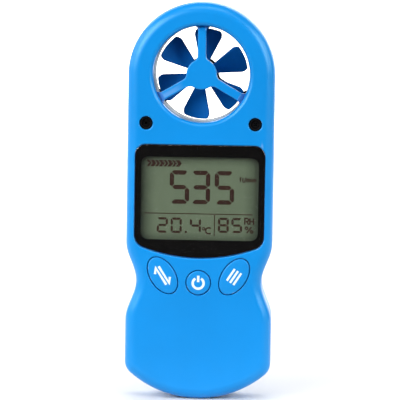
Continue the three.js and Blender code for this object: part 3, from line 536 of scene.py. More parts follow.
def clear_window(name):
    """Clear acrylic that lets the lamps through to what lies behind it."""
    material, bsdf = shader(name, (0.97, 0.985, 0.98), 0.03)
    tree = material.node_tree
    bsdf.inputs["Transmission Weight"].default_value = 1.0
    bsdf.inputs["IOR"].default_value = 1.49
    rays = tree.nodes.new("ShaderNodeLightPath")
    open_shader = tree.nodes.new("ShaderNodeBsdfTransparent")
    mix = tree.nodes.new("ShaderNodeMixShader")
    output = tree.nodes["Material Output"]
    tree.links.new(rays.outputs["Is Shadow Ray"], mix.inputs["Fac"])
    tree.links.new(bsdf.outputs["BSDF"], mix.inputs[1])
    tree.links.new(open_shader.outputs["BSDF"], mix.inputs[2])
    tree.links.new(mix.outputs["Shader"], output.inputs["Surface"])
    return material


def layered_board(name, colour):
    """Solder mask with faint copper tracks showing under it."""
    material, bsdf = shader(name, colour, 0.4)
    tree = material.node_tree
    tracks = ranged(tree, noise(tree, TRACKS, 0.0), 0.0, 1.0, 0.52, 0.56)
    tree.links.new(mixed(tree, tracks, colour, scaled(colour, 1.8)), bsdf.inputs["Base Color"])
    return material


def display_film(name, colour, rim=0.0044, darkest_painted_shade=0.42):
    """The display's matt film with painted shade: darker within about rim metres of the window's edges,
    as if the border shaded it.
    """
    material, bsdf = shader(name, colour, 0.42)
    tree = material.node_tree
    bsdf.inputs["Specular IOR Level"].default_value = 0.2
    place = tree.nodes.new("ShaderNodeTexCoord")
    parts = tree.nodes.new("ShaderNodeSeparateXYZ")
    tree.links.new(place.outputs["Object"], parts.inputs["Vector"])

    def maths(operation, first, second):
        node = tree.nodes.new("ShaderNodeMath")
        node.operation = operation
        for socket, value in zip(node.inputs, (first, second)):
            if isinstance(value, bpy.types.NodeSocket):
                tree.links.new(value, socket)
            else:
                socket.default_value = value
        return node.outputs["Value"]

    across = maths("SUBTRACT", WINDOW_HALF * MM, maths("ABSOLUTE", parts.outputs["X"], 0.0))
    below = maths("SUBTRACT", WINDOW_HIGH * MM, parts.outputs["Z"])
    above = maths("SUBTRACT", parts.outputs["Z"], WINDOW_LOW * MM)
    # Painted shade: the colour darkens towards the window's sides, top and foot, where the border would
    # shade the film.
    sides = ranged(tree, across, darkest_painted_shade, 1.0, 0.0, rim)
    top = ranged(tree, below, darkest_painted_shade + 0.2, 1.0, 0.0, rim * 0.6)
    foot = ranged(tree, above, darkest_painted_shade + 0.1, 1.0, 0.0, rim * 0.5)
    light = maths("MULTIPLY", sides, maths("MULTIPLY", top, foot))
    tone = mottled(tree, colour, 120.0, 0.97, 1.03)
    tree.links.new(mixed(tree, light, (0.0, 0.0, 0.0), tone), bsdf.inputs["Base Color"])
    return material


BLUE = (0.0028, 0.238, 0.66)
# The edge amounts below make tight edges paler, partly as wear and partly as a painted highlight.
MATERIALS = {
    "blue_shell": moulded("blue_shell", BLUE, 0.3, 0.5, edge_wear_and_highlight=0.3, tint=CYAN_GLOSS),
    "blue_key": moulded("blue_key", (0.005, 0.24, 0.66), 0.34, 0.44, edge_wear_and_highlight=0.3, tint=CYAN_GLOSS),
    "navy_vane": moulded("navy_vane", (0.0006, 0.1, 0.36), 0.4, 0.06, edge_wear_and_highlight=0.1),
    "black_plastic": moulded("black_plastic", (0.0025, 0.0026, 0.0035), 0.5, 0.08, edge_wear_and_highlight=0.02),
    "grey_sleeve": moulded("grey_sleeve", (0.2, 0.28, 0.35), 0.5, 0.15),
    "clear_window": clear_window("clear_window"),
    "black_border": moulded("black_border", (0.0011, 0.0009, 0.0009), 0.25, 0.05, 0.0),
    "display_glass": moulded("display_glass", (0.3, 0.36, 0.27), 0.12, grain=0.02),
    # The display film's material carries painted shade near the window's edges.
    "display_film": display_film("display_film", (0.07, 0.091, 0.057)),
    "white_plastic": moulded("white_plastic", (0.78, 0.78, 0.75), 0.5),
    "rubber": moulded("rubber", (0.03, 0.03, 0.032), 0.8, grain=0.6),
    "board": layered_board("board", (0.02, 0.12, 0.04)),
    "epoxy": moulded("epoxy", (0.01, 0.01, 0.011), 0.3, grain=0.4),
    "steel": metal("steel", (0.6, 0.61, 0.62), 0.28),
    "brass": metal("brass", (0.72, 0.53, 0.25), 0.3),
    "magnet": metal("magnet", (0.13, 0.13, 0.14), 0.42, 4000.0),
    "ribbon": moulded("ribbon", (0.5, 0.18, 0.03), 0.4),
    "white_print": moulded("white_print", (0.74, 0.86, 0.9), 0.45, grain=0.1),
    "display_segments": moulded("display_segments", (0.02, 0.008, 0.0055), 0.45, 0.1, 0.05),
}

# ---- Finishing a piece ----

SHARP = math.radians(34.0)
NEAR_FLAT = math.radians(20.0)
BROAD, MANY_SIDES, SQUARE_ON = 5.0, 8, 1.0 - 1e-6


def flat_faces(mesh):
    """The faces that square up the shading round them: front and rear faces, and other broad ones."""
    for polygon in mesh.polygons:
        broad = polygon.area > BROAD * MM**2 and len(polygon.vertices) > MANY_SIDES
        if broad or abs(polygon.normal.y) > SQUARE_ON:
            yield polygon


def smooth(target):
    """Smooth shading that keeps the hard edges, with flat faces kept flat up to their rounded rims."""
    mesh = target.data
    mesh.shade_smooth()
    mesh.set_sharp_from_angle(angle=SHARP)
    flats = {}
    for polygon in flat_faces(mesh):
        for vertex in polygon.vertices:
            flats.setdefault(vertex, []).append(polygon.normal.copy())
    normals = [Vector(corner.vector) for corner in mesh.corner_normals]
    for loop in mesh.loops:
        for flat in flats.get(loop.vertex_index, ()):
            if normals[loop.index].angle(flat, math.pi) < NEAR_FLAT:
                normals[loop.index] = flat
    mesh.normals_split_custom_set(normals)


def finished(target, name, body, slot, replaces=()):
    """Scales a piece to metres and gives it its name, its body and the material of its slot."""
    moved(target, Matrix.Scale(MM, 4))
    target.name = name
    target.data.name = name
    target.data.materials.clear()
    target.data.materials.append(MATERIALS[slot])
    smooth(target)
    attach(target, body)
    if replaces:
        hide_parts(*replaces)


# ---- Case ----


def case_body():
    return plate(case_outline, rounded(FACE_Y, BACK_Y, EDGE_RADIUS, EDGE_RADIUS, 14))


def case_half(front):
    """One half of the case body, with a small chamfer where the halves meet."""
    meet = SEAM / 2
    if front:
        profile = rounded(FACE_Y, -meet, EDGE_RADIUS, 0.0, 14)
        profile[-1:] = [(-meet - SEAM_CHAMFER, 0.0), (-meet, SEAM_CHAMFER)]
    else:
        profile = rounded(meet, BACK_Y, 0.0, EDGE_RADIUS, 14)
        profile[:1] = [(meet, SEAM_CHAMFER), (meet + SEAM_CHAMFER, 0.0)]
    return plate(case_outline, profile)


def case_slab(inset, y0, y1):
    return plate(lambda i: case_outline(inset), [(y0, 0), (y1, 0)])


def duct_bore(face_y, shoulder_y, meet_y):
    inward = math.copysign(1.0, meet_y - face_y)
    profile = [(MOUTH_RADIUS + LIP_RADIUS, face_y - inward * PAST)]
    for turn in quarter_turn(12):
        radius = MOUTH_RADIUS + LIP_RADIUS * (1 - math.sin(turn))
        profile.append((radius, face_y + inward * LIP_RADIUS * (1 - math.cos(turn))))
    profile += [(MOUTH_RADIUS, shoulder_y), (SEAT_RADIUS, shoulder_y)]
    profile.append((SEAT_RADIUS, meet_y + inward * PAST))
    return turned(profile, z=DUCT_Z)


def front_guard():
    """The three-spoke guard in front of the wheel, moulded in one with the front shell."""
    outline = spider(HUB_RADIUS, MOUTH_RADIUS + SPOKE_ROOT, SKIRT_RADIUS - OVERLAP)
    spokes = plate(outline, rounded(GUARD_FRONT_Y, GUARD_REAR_Y, GUARD_EDGE, GUARD_EDGE, 4))
    depth = TAPER_SLOPE * (SKIRT_RADIUS - TAPER_RADIUS)
    low_y = GUARD_FRONT_Y - OVERLAP
    taper = turned(
        [
            (TAPER_RADIUS, low_y),
            (SKIRT_RADIUS, low_y),
            (SKIRT_RADIUS, GUARD_FRONT_Y + depth),
            (TAPER_RADIUS, GUARD_FRONT_Y),
        ],
        z=DUCT_Z,
        ends=False,
    )
    boss = disc(BOSS_RADIUS, GUARD_REAR_Y - OVERLAP, FRONT_BOSS_Y, z=DUCT_Z)
    return join(cut(spokes, taper), boss)


def bearing_pocket(mouth_y, inward):
    bearing_y, hole_y = mouth_y + inward * BEARING_DEPTH, mouth_y + inward * SHAFT_HOLE_DEPTH
    return join(
        disc(BEARING_RADIUS, mouth_y - inward * PAST, bearing_y, z=DUCT_Z),
        disc(SHAFT_HOLE_RADIUS, mouth_y, hole_y, z=DUCT_Z),
    )


def key_outlines(margin):
    return [
        oval(LEFT_KEY, -1, margin),
        circle(ROUND_KEY, ROUND_RADIUS + margin),
        oval(RIGHT_KEY, 1, margin),
    ]


def front_shell():
    meet = -SEAM / 2
    half = cut(case_half(True), case_slab(WALL, INNER_FACE_Y, PAST))
    tongue = case_slab(TONGUE_INSET, meet - PAST, TONGUE_END)
    cut(tongue, case_slab(WALL, meet - 2 * PAST, TONGUE_END + PAST))
    cut(tongue, *discs(BOSS_REAR + BOSS_ROOM, meet, TONGUE_END + PAST, CASE_SCREWS))
    root = INNER_FACE_Y - OVERLAP
    solid = join(
        half,
        tongue,
        disc(SKIRT_RADIUS, root, meet, z=DUCT_Z, sides=SIDES),
        plate(lambda i: lens_outline(LENS_PAD_INSET), [(root, 0), (LENS_PAD_Y, 0)]),
        *discs(BOSS_FRONT, root, meet, CASE_SCREWS),
        *discs(POST_RADIUS, root, BOARD_FRONT_Y, BOARD_SCREWS),
    )
    low, high = WINDOW_LOW - WINDOW_ROOM, WINDOW_HIGH + WINDOW_ROOM
    window = rectangle(WINDOW_HALF + WINDOW_ROOM, low, high, WINDOW_CORNER)
    lens_pocket = plate(lambda i: lens_outline(i - LENS_GAP), flared(FACE_Y, LENS_POCKET_Y, POCKET_ROUND))
    key_sides = flared(FACE_Y, INNER_FACE_Y + PAST, KEY_HOLE_ROUND)
    cap_sides = flared(FACE_Y, INNER_FACE_Y + PAST, CAP_HOLE_ROUND)
    key_holes = [plate(outline, key_sides) for outline in key_outlines(KEY_GAP)]
    cap_holes = [plate(circle(cap, CAP_HOLE), cap_sides) for cap in (CAP_LEFT, CAP_RIGHT)]
    bore = cut(duct_bore(FACE_Y, FRONT_SHOULDER_Y, meet), front_guard())
    return cut(
        solid,
        bore,
        bearing_pocket(FRONT_BOSS_Y, -1.0),
        lens_pocket,
        plate(window, [(FACE_Y, 0.0), (LENS_PAD_Y + PAST, 0.0)]),
        *key_holes,
        *cap_holes,
        *discs(PILOT_CASE, PILOT_CASE_END, PAST, CASE_SCREWS),
        *discs(PILOT_BOARD, PILOT_BOARD_END, BOARD_FRONT_Y + PAST, BOARD_SCREWS),
    )


def door_channel():
    lift, top = DOOR_INNER_Y - DOOR_PLAY, DOOR_TOP + DOOR_GAP
    panel, tongue = DOOR_HALF + DOOR_GAP, DOOR_TONGUE_HALF + DOOR_GAP
    latch = DOOR_LATCH_HALF + DOOR_GAP
    shelf = (lift, DOOR_TONGUE_Y + DOOR_PLAY)
    return join(
        block((-panel, panel), (lift, BACK_Y + PAST), (-PAST, top)),
        block((-tongue, tongue), shelf, (-PAST, top)),
        block((-latch, latch), shelf, (DOOR_TOP - PAST, DOOR_LATCH_TOP + DOOR_GAP)),
    )


def ribbon_slot():
    """The hall sensor's ribbon leaves the duct here."""
    turn = Matrix.Rotation(math.radians(RIBBON_TURN), 4, "Y")
    return moved(block(*RIBBON_SLOT), Matrix.Translation((0, 0, DUCT_Z)) @ turn)


def contact_slots():
    """Slots for the contact at the cell's side and the one in the tray's floor."""
    side_z = (CELL.z - SIDE_CONTACT_HALF, CELL.z + SIDE_CONTACT_HALF)
    floor_z = tuple(CELL.z - drop for drop in FLOOR_CONTACT_DROP)
    return [
        block(SIDE_CONTACT_X, (CONTACT_SLOT_Y, INNER_BACK_Y), side_z),
        block((-FLOOR_CONTACT_HALF, FLOOR_CONTACT_HALF), (CONTACT_SLOT_Y, FLOOR_CONTACT_Y), floor_z),
    ]


def rear_shell():
    meet = SEAM / 2
    hollow = case_slab(WALL, -PAST, INNER_BACK_Y)
    wall = cut(case_half(False), hollow, case_slab(REBATE_INSET, -PAST, REBATE_END))
    root = INNER_BACK_Y + OVERLAP
    inside = join(
        disc(SKIRT_RADIUS, meet, root, z=DUCT_Z, sides=SIDES),
        block((-DECK_HALF, DECK_HALF), (DECK_FRONT_Y, root), (-PAST, DOOR_TOP + DECK_ABOVE_DOOR)),
        disc(TRAY_OUTER, TRAY_FLOOR[0], INNER_BACK_Y, CELL.x, CELL.z, 96),
        *discs(BOSS_REAR, meet, root, CASE_SCREWS),
    )
    solid = join(wall, intersect(inside, case_body()))
    sinks = []
    for place in CASE_SCREWS:
        sinks.append(plate(circle(place, SINK_RADIUS, 64), flared(BACK_Y, SINK_Y, SINK_ROUND)))
        sinks.append(disc(CLEAR_HOLE, meet - PAST, SINK_Y + OVERLAP, place.x, place.z))
    return cut(
        solid,
        duct_bore(BACK_Y, REAR_SHOULDER_Y, meet),
        disc(TRAY_BORE, TRAY_FLOOR[1], BACK_Y + PAST, CELL.x, CELL.z, 96),
        door_channel(),
        *contact_slots(),
        ribbon_slot(),
        *sinks,
    )


def groove(z):
    """A rounded thumb groove across the battery door."""
    half = GROOVE_PITCH / 4
    outline = rectangle(GROOVE_HALF, z - half, z + half, half - 0.01)
    return plate(outline, flared(BACK_Y, BACK_Y - GROOVE_DEPTH, GROOVE_ROUND))


def battery_door():
    latch_z = (DOOR_TOP - PAST, DOOR_LATCH_TOP)
    door = join(
        block((-DOOR_HALF, DOOR_HALF), (DOOR_INNER_Y, BACK_Y + PAST), (-PAST, DOOR_TOP)),
        block((-DOOR_TONGUE_HALF, DOOR_TONGUE_HALF), (DOOR_INNER_Y, DOOR_TONGUE_Y), DOOR_TONGUE_Z),
        block((-DOOR_LATCH_HALF, DOOR_LATCH_HALF), (DOOR_INNER_Y, DOOR_LATCH_Y), latch_z),
    )
    intersect(door, case_body())
    return cut(door, *[groove(GROOVE_TOP - i * GROOVE_PITCH) for i in range(GROOVES)])


finished(front_shell(), "front_shell_moulding", "case", "blue_shell", ["front_shell"])
finished(rear_shell(), "rear_shell_moulding", "case", "blue_shell", ["rear_shell"])
finished(battery_door(), "battery_door_moulding", "door", "blue_shell", ["battery_door"])

# ---- Duct and vane wheel ----


def sleeve():
    low, high = SLEEVE_LOW, SLEEVE_HIGH
    return turned(
        [
            (RIM_INNER, low.y + SLEEVE_CHAMFER),
            (RIM_INNER + SLEEVE_CHAMFER, low.y),
            (high.x, low.y),
            (high.x, high.y),
            (RIM_INNER, high.y),
        ],
        z=DUCT_Z,
        ends=False,
    )


def rear_guard():
    front_y, rear_y = REAR_SPOKES_Y
    low_y, high_y = REAR_RIM_FRONT_Y, REAR_GUARD_HIGH.y
    outer = REAR_GUARD_HIGH.x
    outline = spider(REAR_HUB_RADIUS, RIM_INNER + RIM_ROOT, outer + PAST)
    spokes = plate(outline, rounded(front_y, rear_y, GUARD_EDGE, GUARD_EDGE, 4))
    intersect(spokes, disc(outer - 0.3, low_y, high_y, z=DUCT_Z, sides=SIDES))
    ring = [(RIM_INNER, low_y), (outer, low_y), (outer, high_y), (RIM_INNER, high_y)]
    rim = turned(ring, z=DUCT_Z, ends=False)
    boss = disc(BOSS_RADIUS, REAR_GUARD_LOW.y, front_y + OVERLAP, z=DUCT_Z)
    return cut(join(spokes, rim, boss), bearing_pocket(REAR_GUARD_LOW.y, 1.0), ribbon_slot())


def vane_outline(inset):
    """A vane along +X, seen square on, its tip on the wheel's circle."""
    pitch, half = math.radians(BLADE_PITCH), math.radians(BLADE_HALF_ANGLE)
    spread = math.tan(half) / math.cos(pitch)
    tip_half = math.sin(half) * BLADE_TIP / math.cos(pitch)
    shoulder = math.cos(half) * BLADE_TIP - BLADE_CORNER
    root = ROTOR_HUB - BLADE_ROOT
    corner_z = tip_half - BLADE_CORNER

    def tip_x(z):
        return math.sqrt(BLADE_TIP**2 - (z * math.cos(pitch)) ** 2) - inset

    upper = [(root, root * spread - inset)]
    for turn in quarter_turn(8):
        x = shoulder + (tip_x(corner_z) - shoulder) * math.sin(turn)
        z = corner_z + (shoulder * spread - inset - corner_z) * math.cos(turn)
        upper.append((x, z))
    upper += [(tip_x(corner_z * (1 - i / 6)), corner_z * (1 - i / 6)) for i in range(1, 7)]
    return [(x, -z) for x, z in upper[:-1]] + upper[::-1]


def rotor():
    front_y, rear_y = ROTOR_LOW.y, ROTOR_HIGH.y
    nose = []
    for turn in quarter_turn(8):
        radius = ROTOR_HUB - ROTOR_NOSE * (1 - math.sin(turn))
        nose.append((radius, front_y + ROTOR_NOSE * (1 - math.cos(turn))))
    wheel = turned(nose + [(ROTOR_HUB, rear_y)], sides=96)
    half = BLADE_THICKNESS / 2
    for i in range(BLADES):
        blade = plate(vane_outline, rounded(-half, half, BLADE_EDGE, BLADE_EDGE, 4))
        turn = Matrix.Rotation(-math.radians(FIRST_BLADE + 360.0 / BLADES * i), 4, "Y")
        join(wheel, moved(blade, turn @ Matrix.Rotation(math.radians(BLADE_PITCH), 4, "X")))
    bore = disc(ROTOR_BORE, front_y - PAST, rear_y + PAST)
    cut(wheel, bore, disc(MAGNET_BORE, rear_y - MAGNET_DEPTH, rear_y + PAST))
    return moved(wheel, Matrix.Translation((0, 0, DUCT_Z)))


finished(sleeve(), "duct_liner", "case", "grey_sleeve", ["duct_sleeve"])
finished(rear_guard(), "rear_guard_moulding", "case", "black_plastic", ["rear_guard"])
finished(rotor(), "vane_wheel", "wheel", "navy_vane", ["rotor"])

# ---- Flat marks ----


def gathered(solids):
    """Several solids as one object."""

    def build(bm):
        for solid in solids:
            bm.from_mesh(solid.data)
            bpy.data.objects.remove(solid)

    return solid_from(build)


def sheet(points, y0, y1):
    return loft([[(x, y, z) for x, z in points] for y in (y0, y1)])


def stroke(path, width, y0, y1):
    """A flat line along a path of (x, z), mitred at its corners and closed where the path is."""
    points = [Vector(point) for point in path]
    closed = points[0] == points[-1]
    if closed:
        points.pop()
    rings = []
    for i, point in enumerate(points):
        after = points[(i + 1) % len(points)] - point
        before = point - points[i - 1]
        if not closed:
            before = after if i == 0 else before
            after = before if i == len(points) - 1 else after
        before.normalize()
        along = (before + after.normalized()).normalized()
        side = Vector((-along.y, along.x))
        reach = width / 2 / max(0.5, along.dot(before))
        left, right = point + side * reach, point - side * reach
        corners = ((left, y0), (right, y0), (right, y1), (left, y1))
        rings.append([(corner.x, y, corner.y) for corner, y in corners])
    return loft(rings, ends=not closed)


def ring_path(x, z, radius, start=0.0, stop=360.0, steps=32):
    path = arc((x, z), radius, math.radians(start), math.radians(stop), steps)
    if stop - start == 360.0:
        path[-1] = path[0]
    return path


# ---- Sensor ports and keys ----


def sensor_cap(place, node):
    """A recessed ring with a vent hole in its dished middle."""
    low, high = span(node)
    front, rear, flange_y = low.y, high.y, INNER_FACE_Y + CAP_FLANGE_GAP
    vent, dish, edge = 0.45, 1.35, 0.13
    floor_y = front + CAP_DISH
    return turned(
        [
            (vent, floor_y),
            (dish - edge, floor_y),
            (dish, floor_y - edge),
            (dish, front + edge),
            (dish + edge, front),
            (CAP_RADIUS - edge, front),
            (CAP_RADIUS, front + edge),
            (CAP_RADIUS, flange_y),
            (high.x - place.x, flange_y),
            (high.x - place.x, rear),
            (vent, rear),
        ],
        place.x,
        place.z,
        64,
        ends=False,
    )


def domed(front_y, rear_y, reach, dome=0.14, steps=8):
    """A crown that falls by dome over reach and then rounds into its sides."""
    rise = [
        (front_y + dome * (i / steps) ** 2, KEY_EDGE + reach * (1 - i / steps)) for i in range(steps)
    ]
    return rise + rounded(front_y + dome, rear_y, KEY_EDGE, 0.0, 6)


def key(outline, flange, centre, reach):
    return join(
        plate(outline, domed(KEY_CROWN_Y, FLANGE_REAR_Y - 0.1, reach)),
        plate(flange, [(FLANGE_FRONT_Y, 0.0), (FLANGE_REAR_Y, 0.0)]),
        disc(KEY_STEM_RADIUS, FLANGE_REAR_Y - 0.3, KEY_REAR_Y, centre.x, centre.z),
    )


def printed(outline, reach, paths, width):
    """Marks printed on a key: strokes that follow its crown and stand just proud of it."""
    proud = 0.02
    marks = []
    for path in paths:
        skin = plate(outline, domed(KEY_CROWN_Y - proud, KEY_CROWN_Y + 1.0, reach))
        mark = stroke(path, width, KEY_CROWN_Y - PAST, KEY_CROWN_Y + OVERLAP)
        marks.append(intersect(mark, skin))
    return gathered(marks)


def tilted(centre, angle, path):
    """A path drawn along a key's long axis."""
    c, s = math.cos(math.radians(angle)), math.sin(math.radians(angle))
    return [(centre.x + u * c - v * s, centre.z + u * s + v * c) for u, v in path]


OVAL_REACH = OVAL_SHORT - KEY_EDGE - KEY_CORE
ROUND_REACH = ROUND_RADIUS - KEY_EDGE - KEY_CORE
left_outline, round_outline, right_outline = key_outlines(0.0)
KEYS = zip(
    ("units", "power", "set"),
    key_outlines(0.0),
    key_outlines(FLANGE_MARGIN),
    (LEFT_KEY, ROUND_KEY, RIGHT_KEY),
    (OVAL_REACH, ROUND_REACH, OVAL_REACH),
)
for name, outline, flange, centre, reach in KEYS:
    piece = key(outline, flange, centre, reach)
    finished(piece, name + "_key_cap", name + "_key", "blue_key", [name + "_button"])

PRINT_WIDTH, BAR_WIDTH = 0.72, 0.62
swap = [[(-2.9, 0.5), (2.9, 0.5), (1.5, 1.65)], [(2.9, -0.5), (-2.9, -0.5), (-1.5, -1.65)]]
bars = [[(-2.1, v), (2.1, v)] for v in (-1.15, 0.0, 1.15)]
swap_paths = [tilted(LEFT_KEY, -OVAL_TILT, path) for path in swap]
bars_paths = [tilted(RIGHT_KEY, OVAL_TILT, path) for path in bars]
power_paths = [
    ring_path(ROUND_KEY.x, ROUND_KEY.z - 0.1, 1.62, 122.0, 418.0),
    [(ROUND_KEY.x, ROUND_KEY.z + 0.25), (ROUND_KEY.x, ROUND_KEY.z + 2.15)],
]
swap_print = printed(left_outline, OVAL_REACH, swap_paths, PRINT_WIDTH)
bars_print = printed(right_outline, OVAL_REACH, bars_paths, BAR_WIDTH)
power_print = printed(round_outline, ROUND_REACH, power_paths, PRINT_WIDTH)
finished(swap_print, "units_key_print", "units_key", "white_print")
finished(bars_print, "set_key_print", "set_key", "white_print")
finished(power_print, "power_key_print", "power_key", "white_print")

for side, place in (("left", CAP_LEFT), ("right", CAP_RIGHT)):
    node = "sensor_cap_" + side
    finished(sensor_cap(place, node), side + "_sensor_port", "case", "black_plastic", [node])

# ---- Window and display ----

window_outline = rectangle(WINDOW_HALF, WINDOW_LOW, WINDOW_HIGH, WINDOW_CORNER)
pane = plate(lens_outline, rounded(LENS_LOW.y, LENS_HIGH.y, 0.25, 0.1, 5))
finished(pane, "display_window", "case", "clear_window", ["display_lens"])
border = plate(lambda i: lens_outline(i + 0.2), [(GASKET_LOW.y, 0.0), (GASKET_HIGH.y, 0.0)])
cut(border, plate(window_outline, [(GASKET_LOW.y - PAST, 0.0), (GASKET_HIGH.y + PAST, 0.0)]))
finished(border, "window_border", "case", "black_border", ["lens_gasket"])

MARK_Y = (FILM_Y - 0.03, FILM_Y - 0.005)

SEGMENTS = {"0": "abcdef", "2": "abged", "3": "abgcd", "4": "fgbc", "5": "afgcd", "8": "abcdefg"}


def digit(character, low, high, stroke_width, gap):
    """The lit segments of a seven-segment digit in the box from low to high."""
    (x0, z0), (x1, z1) = low, high
    w, clip, mid = stroke_width, stroke_width * 0.85, (z0 + z1) / 2
    half = w / 2
    top = [
        (x0 + (clip + gap) / 2, z1 - (clip - gap) / 2),
        (x0 + clip, z1),
        (x1 - clip, z1),
        (x1 - (clip + gap) / 2, z1 - (clip - gap) / 2),
        (x1 - w - gap, z1 - w),
        (x0 + w + gap, z1 - w),
    ]
    upper_left = [
        (x0 + (clip - gap) / 2, z1 - (clip + gap) / 2),
        (x0 + w, z1 - w - gap),
        (x0 + w, mid + half + gap),
        (x0 + half, mid + gap),
        (x0, mid + half),
        (x0, z1 - clip),
    ]
    centre = [
        (x0 + half + gap, mid),
        (x0 + w + gap, mid + half),
        (x1 - w - gap, mid + half),
        (x1 - half - gap, mid),
        (x1 - w - gap, mid - half),
        (x0 + w + gap, mid - half),
    ]

    def flip_x(points):
        return [(x0 + x1 - x, z) for x, z in points]

    def flip_z(points):
        return [(x, z0 + z1 - z) for x, z in points]

    shapes = {
        "a": top,
        "b": flip_x(upper_left),
        "c": flip_x(flip_z(upper_left)),
        "d": flip_z(top),
        "e": flip_z(upper_left),
        "f": upper_left,
        "g": centre,
    }
    return [sheet(shapes[segment], *MARK_Y) for segment in SEGMENTS[character]]


# Strokes of a small plain alphabet, in units of its capital height.
GLYPHS = {
    "f": [[(0.42, 1.0), (0.28, 1.0), (0.18, 0.88), (0.18, 0.0)], [(0.0, 0.62), (0.38, 0.62)]],
    "t": [[(0.15, 0.95), (0.15, 0.12), (0.25, 0.0), (0.38, 0.0)], [(0.0, 0.65), (0.36, 0.65)]],
    "/": [[(0.0, -0.1), (0.34, 1.05)]],
    "m": [
        [(0.0, 0.0), (0.0, 0.65)],
        [(0.0, 0.5), (0.12, 0.65), (0.26, 0.65), (0.35, 0.52), (0.35, 0.0)],
        [(0.35, 0.52), (0.46, 0.65), (0.6, 0.65), (0.7, 0.52), (0.7, 0.0)],
    ],
    "i": [[(0.0, 0.0), (0.0, 0.65)], [(0.0, 0.85), (0.0, 1.0)]],
    "n": [[(0.0, 0.0), (0.0, 0.65)], [(0.0, 0.5), (0.12, 0.65), (0.3, 0.65), (0.4, 0.52), (0.4, 0.0)]],
    "R": [
        [(0.0, 0.0), (0.0, 1.0), (0.42, 1.0), (0.56, 0.87), (0.56, 0.63), (0.42, 0.5), (0.0, 0.5)],
        [(0.32, 0.5), (0.6, 0.0)],
    ],
    "H": [[(0.0, 0.0), (0.0, 1.0)], [(0.56, 0.0), (0.56, 1.0)], [(0.0, 0.5), (0.56, 0.5)]],
    "C": [ring_path(0.48, 0.5, 0.46, 48.0, 312.0, 20)],
    "%": [
        [(0.25, 0.0), (1.0, 1.0)],
        ring_path(0.2, 0.78, 0.2, steps=12),
        ring_path(1.04, 0.22, 0.2, steps=12),
    ],
    "o": [ring_path(0.2, 0.8, 0.18, steps=12)],
}


def written(text, places, z, height, width):
    solids = []
    for character, x in zip(text, places):
        for path in GLYPHS[character]:
            solids.append(stroke([(x + height * u, z + height * v) for u, v in path], width, *MARK_Y))
    return solids


def arrow(x, z, half=0.95, notch=0.75, bands=(0.8, 1.15), gap=0.28):
    """Two nested chevrons that point to +X."""
    solids = []
    for band in bands:
        outline = [(x, z - half), (x + band, z - half), (x + band + notch, z)]
        outline += [(x + band, z + half), (x, z + half), (x + notch, z)]
        solids.append(sheet(outline, *MARK_Y))
        x += band + gap
    return solids


def reading(text, places, z0, z1, width, stroke_width, gap):
    """Seven-segment digits, each with its left side at its place."""
    solids = []
    for character, x in zip(text, places):
        solids += digit(character, (x, z0), (x + width, z1), stroke_width, gap)
    return solids


# The reading's layout: x from the meter's middle and z from its base, in millimetres.
RULE_WIDTH = 0.28
SPEED = reading("535", (-8.95, -2.75, 4.35), 58.3, 68.25, 5.8, 1.3, 0.13)
TEMPERATURE = reading("204", (-12.62, -8.5, -2.81), 49.6, 54.2, 3.3, 0.68, 0.09)
HUMIDITY = reading("85", (5.52, 9.48), 49.9, 54.4, 3.2, 0.68, 0.09)
RULES = [
    stroke([(-16.4, 55.4), (15.7, 55.4)], RULE_WIDTH, *MARK_Y),
    stroke([(4.45, 48.9), (4.45, 55.26)], RULE_WIDTH, *MARK_Y),
]
POINT = [sheet(ring_path(-3.96, 49.93, 0.36, steps=16)[:-1], *MARK_Y)]
UNITS = (
    written("ft/min", (11.65, 12.43, 13.13, 13.85, 15.35, 15.85), 65.05, 1.4, 0.36)
    + written("RH", (13.45, 14.95), 52.45, 1.9, 0.42)
    + written("%", (13.6,), 49.95, 1.85, 0.4)
    + written("o", (0.9,), 49.4, 2.0, 0.32)
    + written("C", (1.85,), 49.45, 1.95, 0.44)
)
ARROWS = [solid for x in (-15.9, -13.4, -10.9, -8.4) for solid in arrow(x, 70.25)]
shown = gathered(SPEED + TEMPERATURE + HUMIDITY + RULES + POINT + UNITS + ARROWS)
finished(shown, "display_reading", "case", "display_segments")

# ---- Screws and cell ----


def pan_screw(node, head_height):
    """A pan-head screw with a cross recess, its head towards +Y."""
    low, high = span(node)
    centre = middle(node)
    x, z = centre.x, centre.z
    head, shank = (high.x - low.x) / 2, SCREW_SHANK * (high.x - low.x) / 2
    seat = high.y - head_height
    crown = []
    for turn in quarter_turn(8):
        rise = SCREW_RIM + (1.0 - SCREW_RIM) * math.sin(turn)
        crown.append((max(0.05, head * math.cos(turn)), seat + head_height * rise))
    profile = [(SCREW_POINT * shank, low.y), (shank, low.y + 1.0), (shank, seat), (head, seat)]
    long, short = CROSS_LONG * head, CROSS_WIDE * head
    deep = (seat + SCREW_RIM * head_height, high.y + PAST)
    cross = join(
        block((x - long, x + long), deep, (z - short, z + short)),
        block((x - short, x + short), deep, (z - long, z + long)),
    )
    return cut(turned(profile + crown, x, z, 48), cross)


def cell():
    """A stepped can with a rounded rim and a slightly raised ring round its flat end."""
    low, high = span("coin_cell")
    radius, step, edge = (high.x - low.x) / 2, 0.5, 0.3
    profile = [(radius - 1.3, low.y), (radius - 1.3, low.y + step), (radius - edge, low.y + step)]
    shoulder = radius - edge
    for turn in quarter_turn(4)[1:]:
        profile.append((shoulder + edge * math.sin(turn), low.y + step + edge * (1 - math.cos(turn))))
    for turn in quarter_turn(4):
        profile.append((shoulder + edge * math.cos(turn), high.y - edge + edge * math.sin(turn)))
    profile += [(radius - 1.6, high.y), (radius - 1.7, high.y - 0.05), (0.5, high.y - 0.05)]
    return turned(profile, CELL.x, CELL.z)


for i in (1, 2, 3, 4):
    for kind, head_height in (("case_screw", 1.5), ("board_screw", 1.0)):
        node = f"{kind}_{i}"
        finished(pan_screw(node, head_height), node + "_turned", "case", "steel", [node])
finished(cell(), "coin_cell_can", "case", "steel", ["coin_cell"])

# ---- CAD nodes that are shown as they are ----

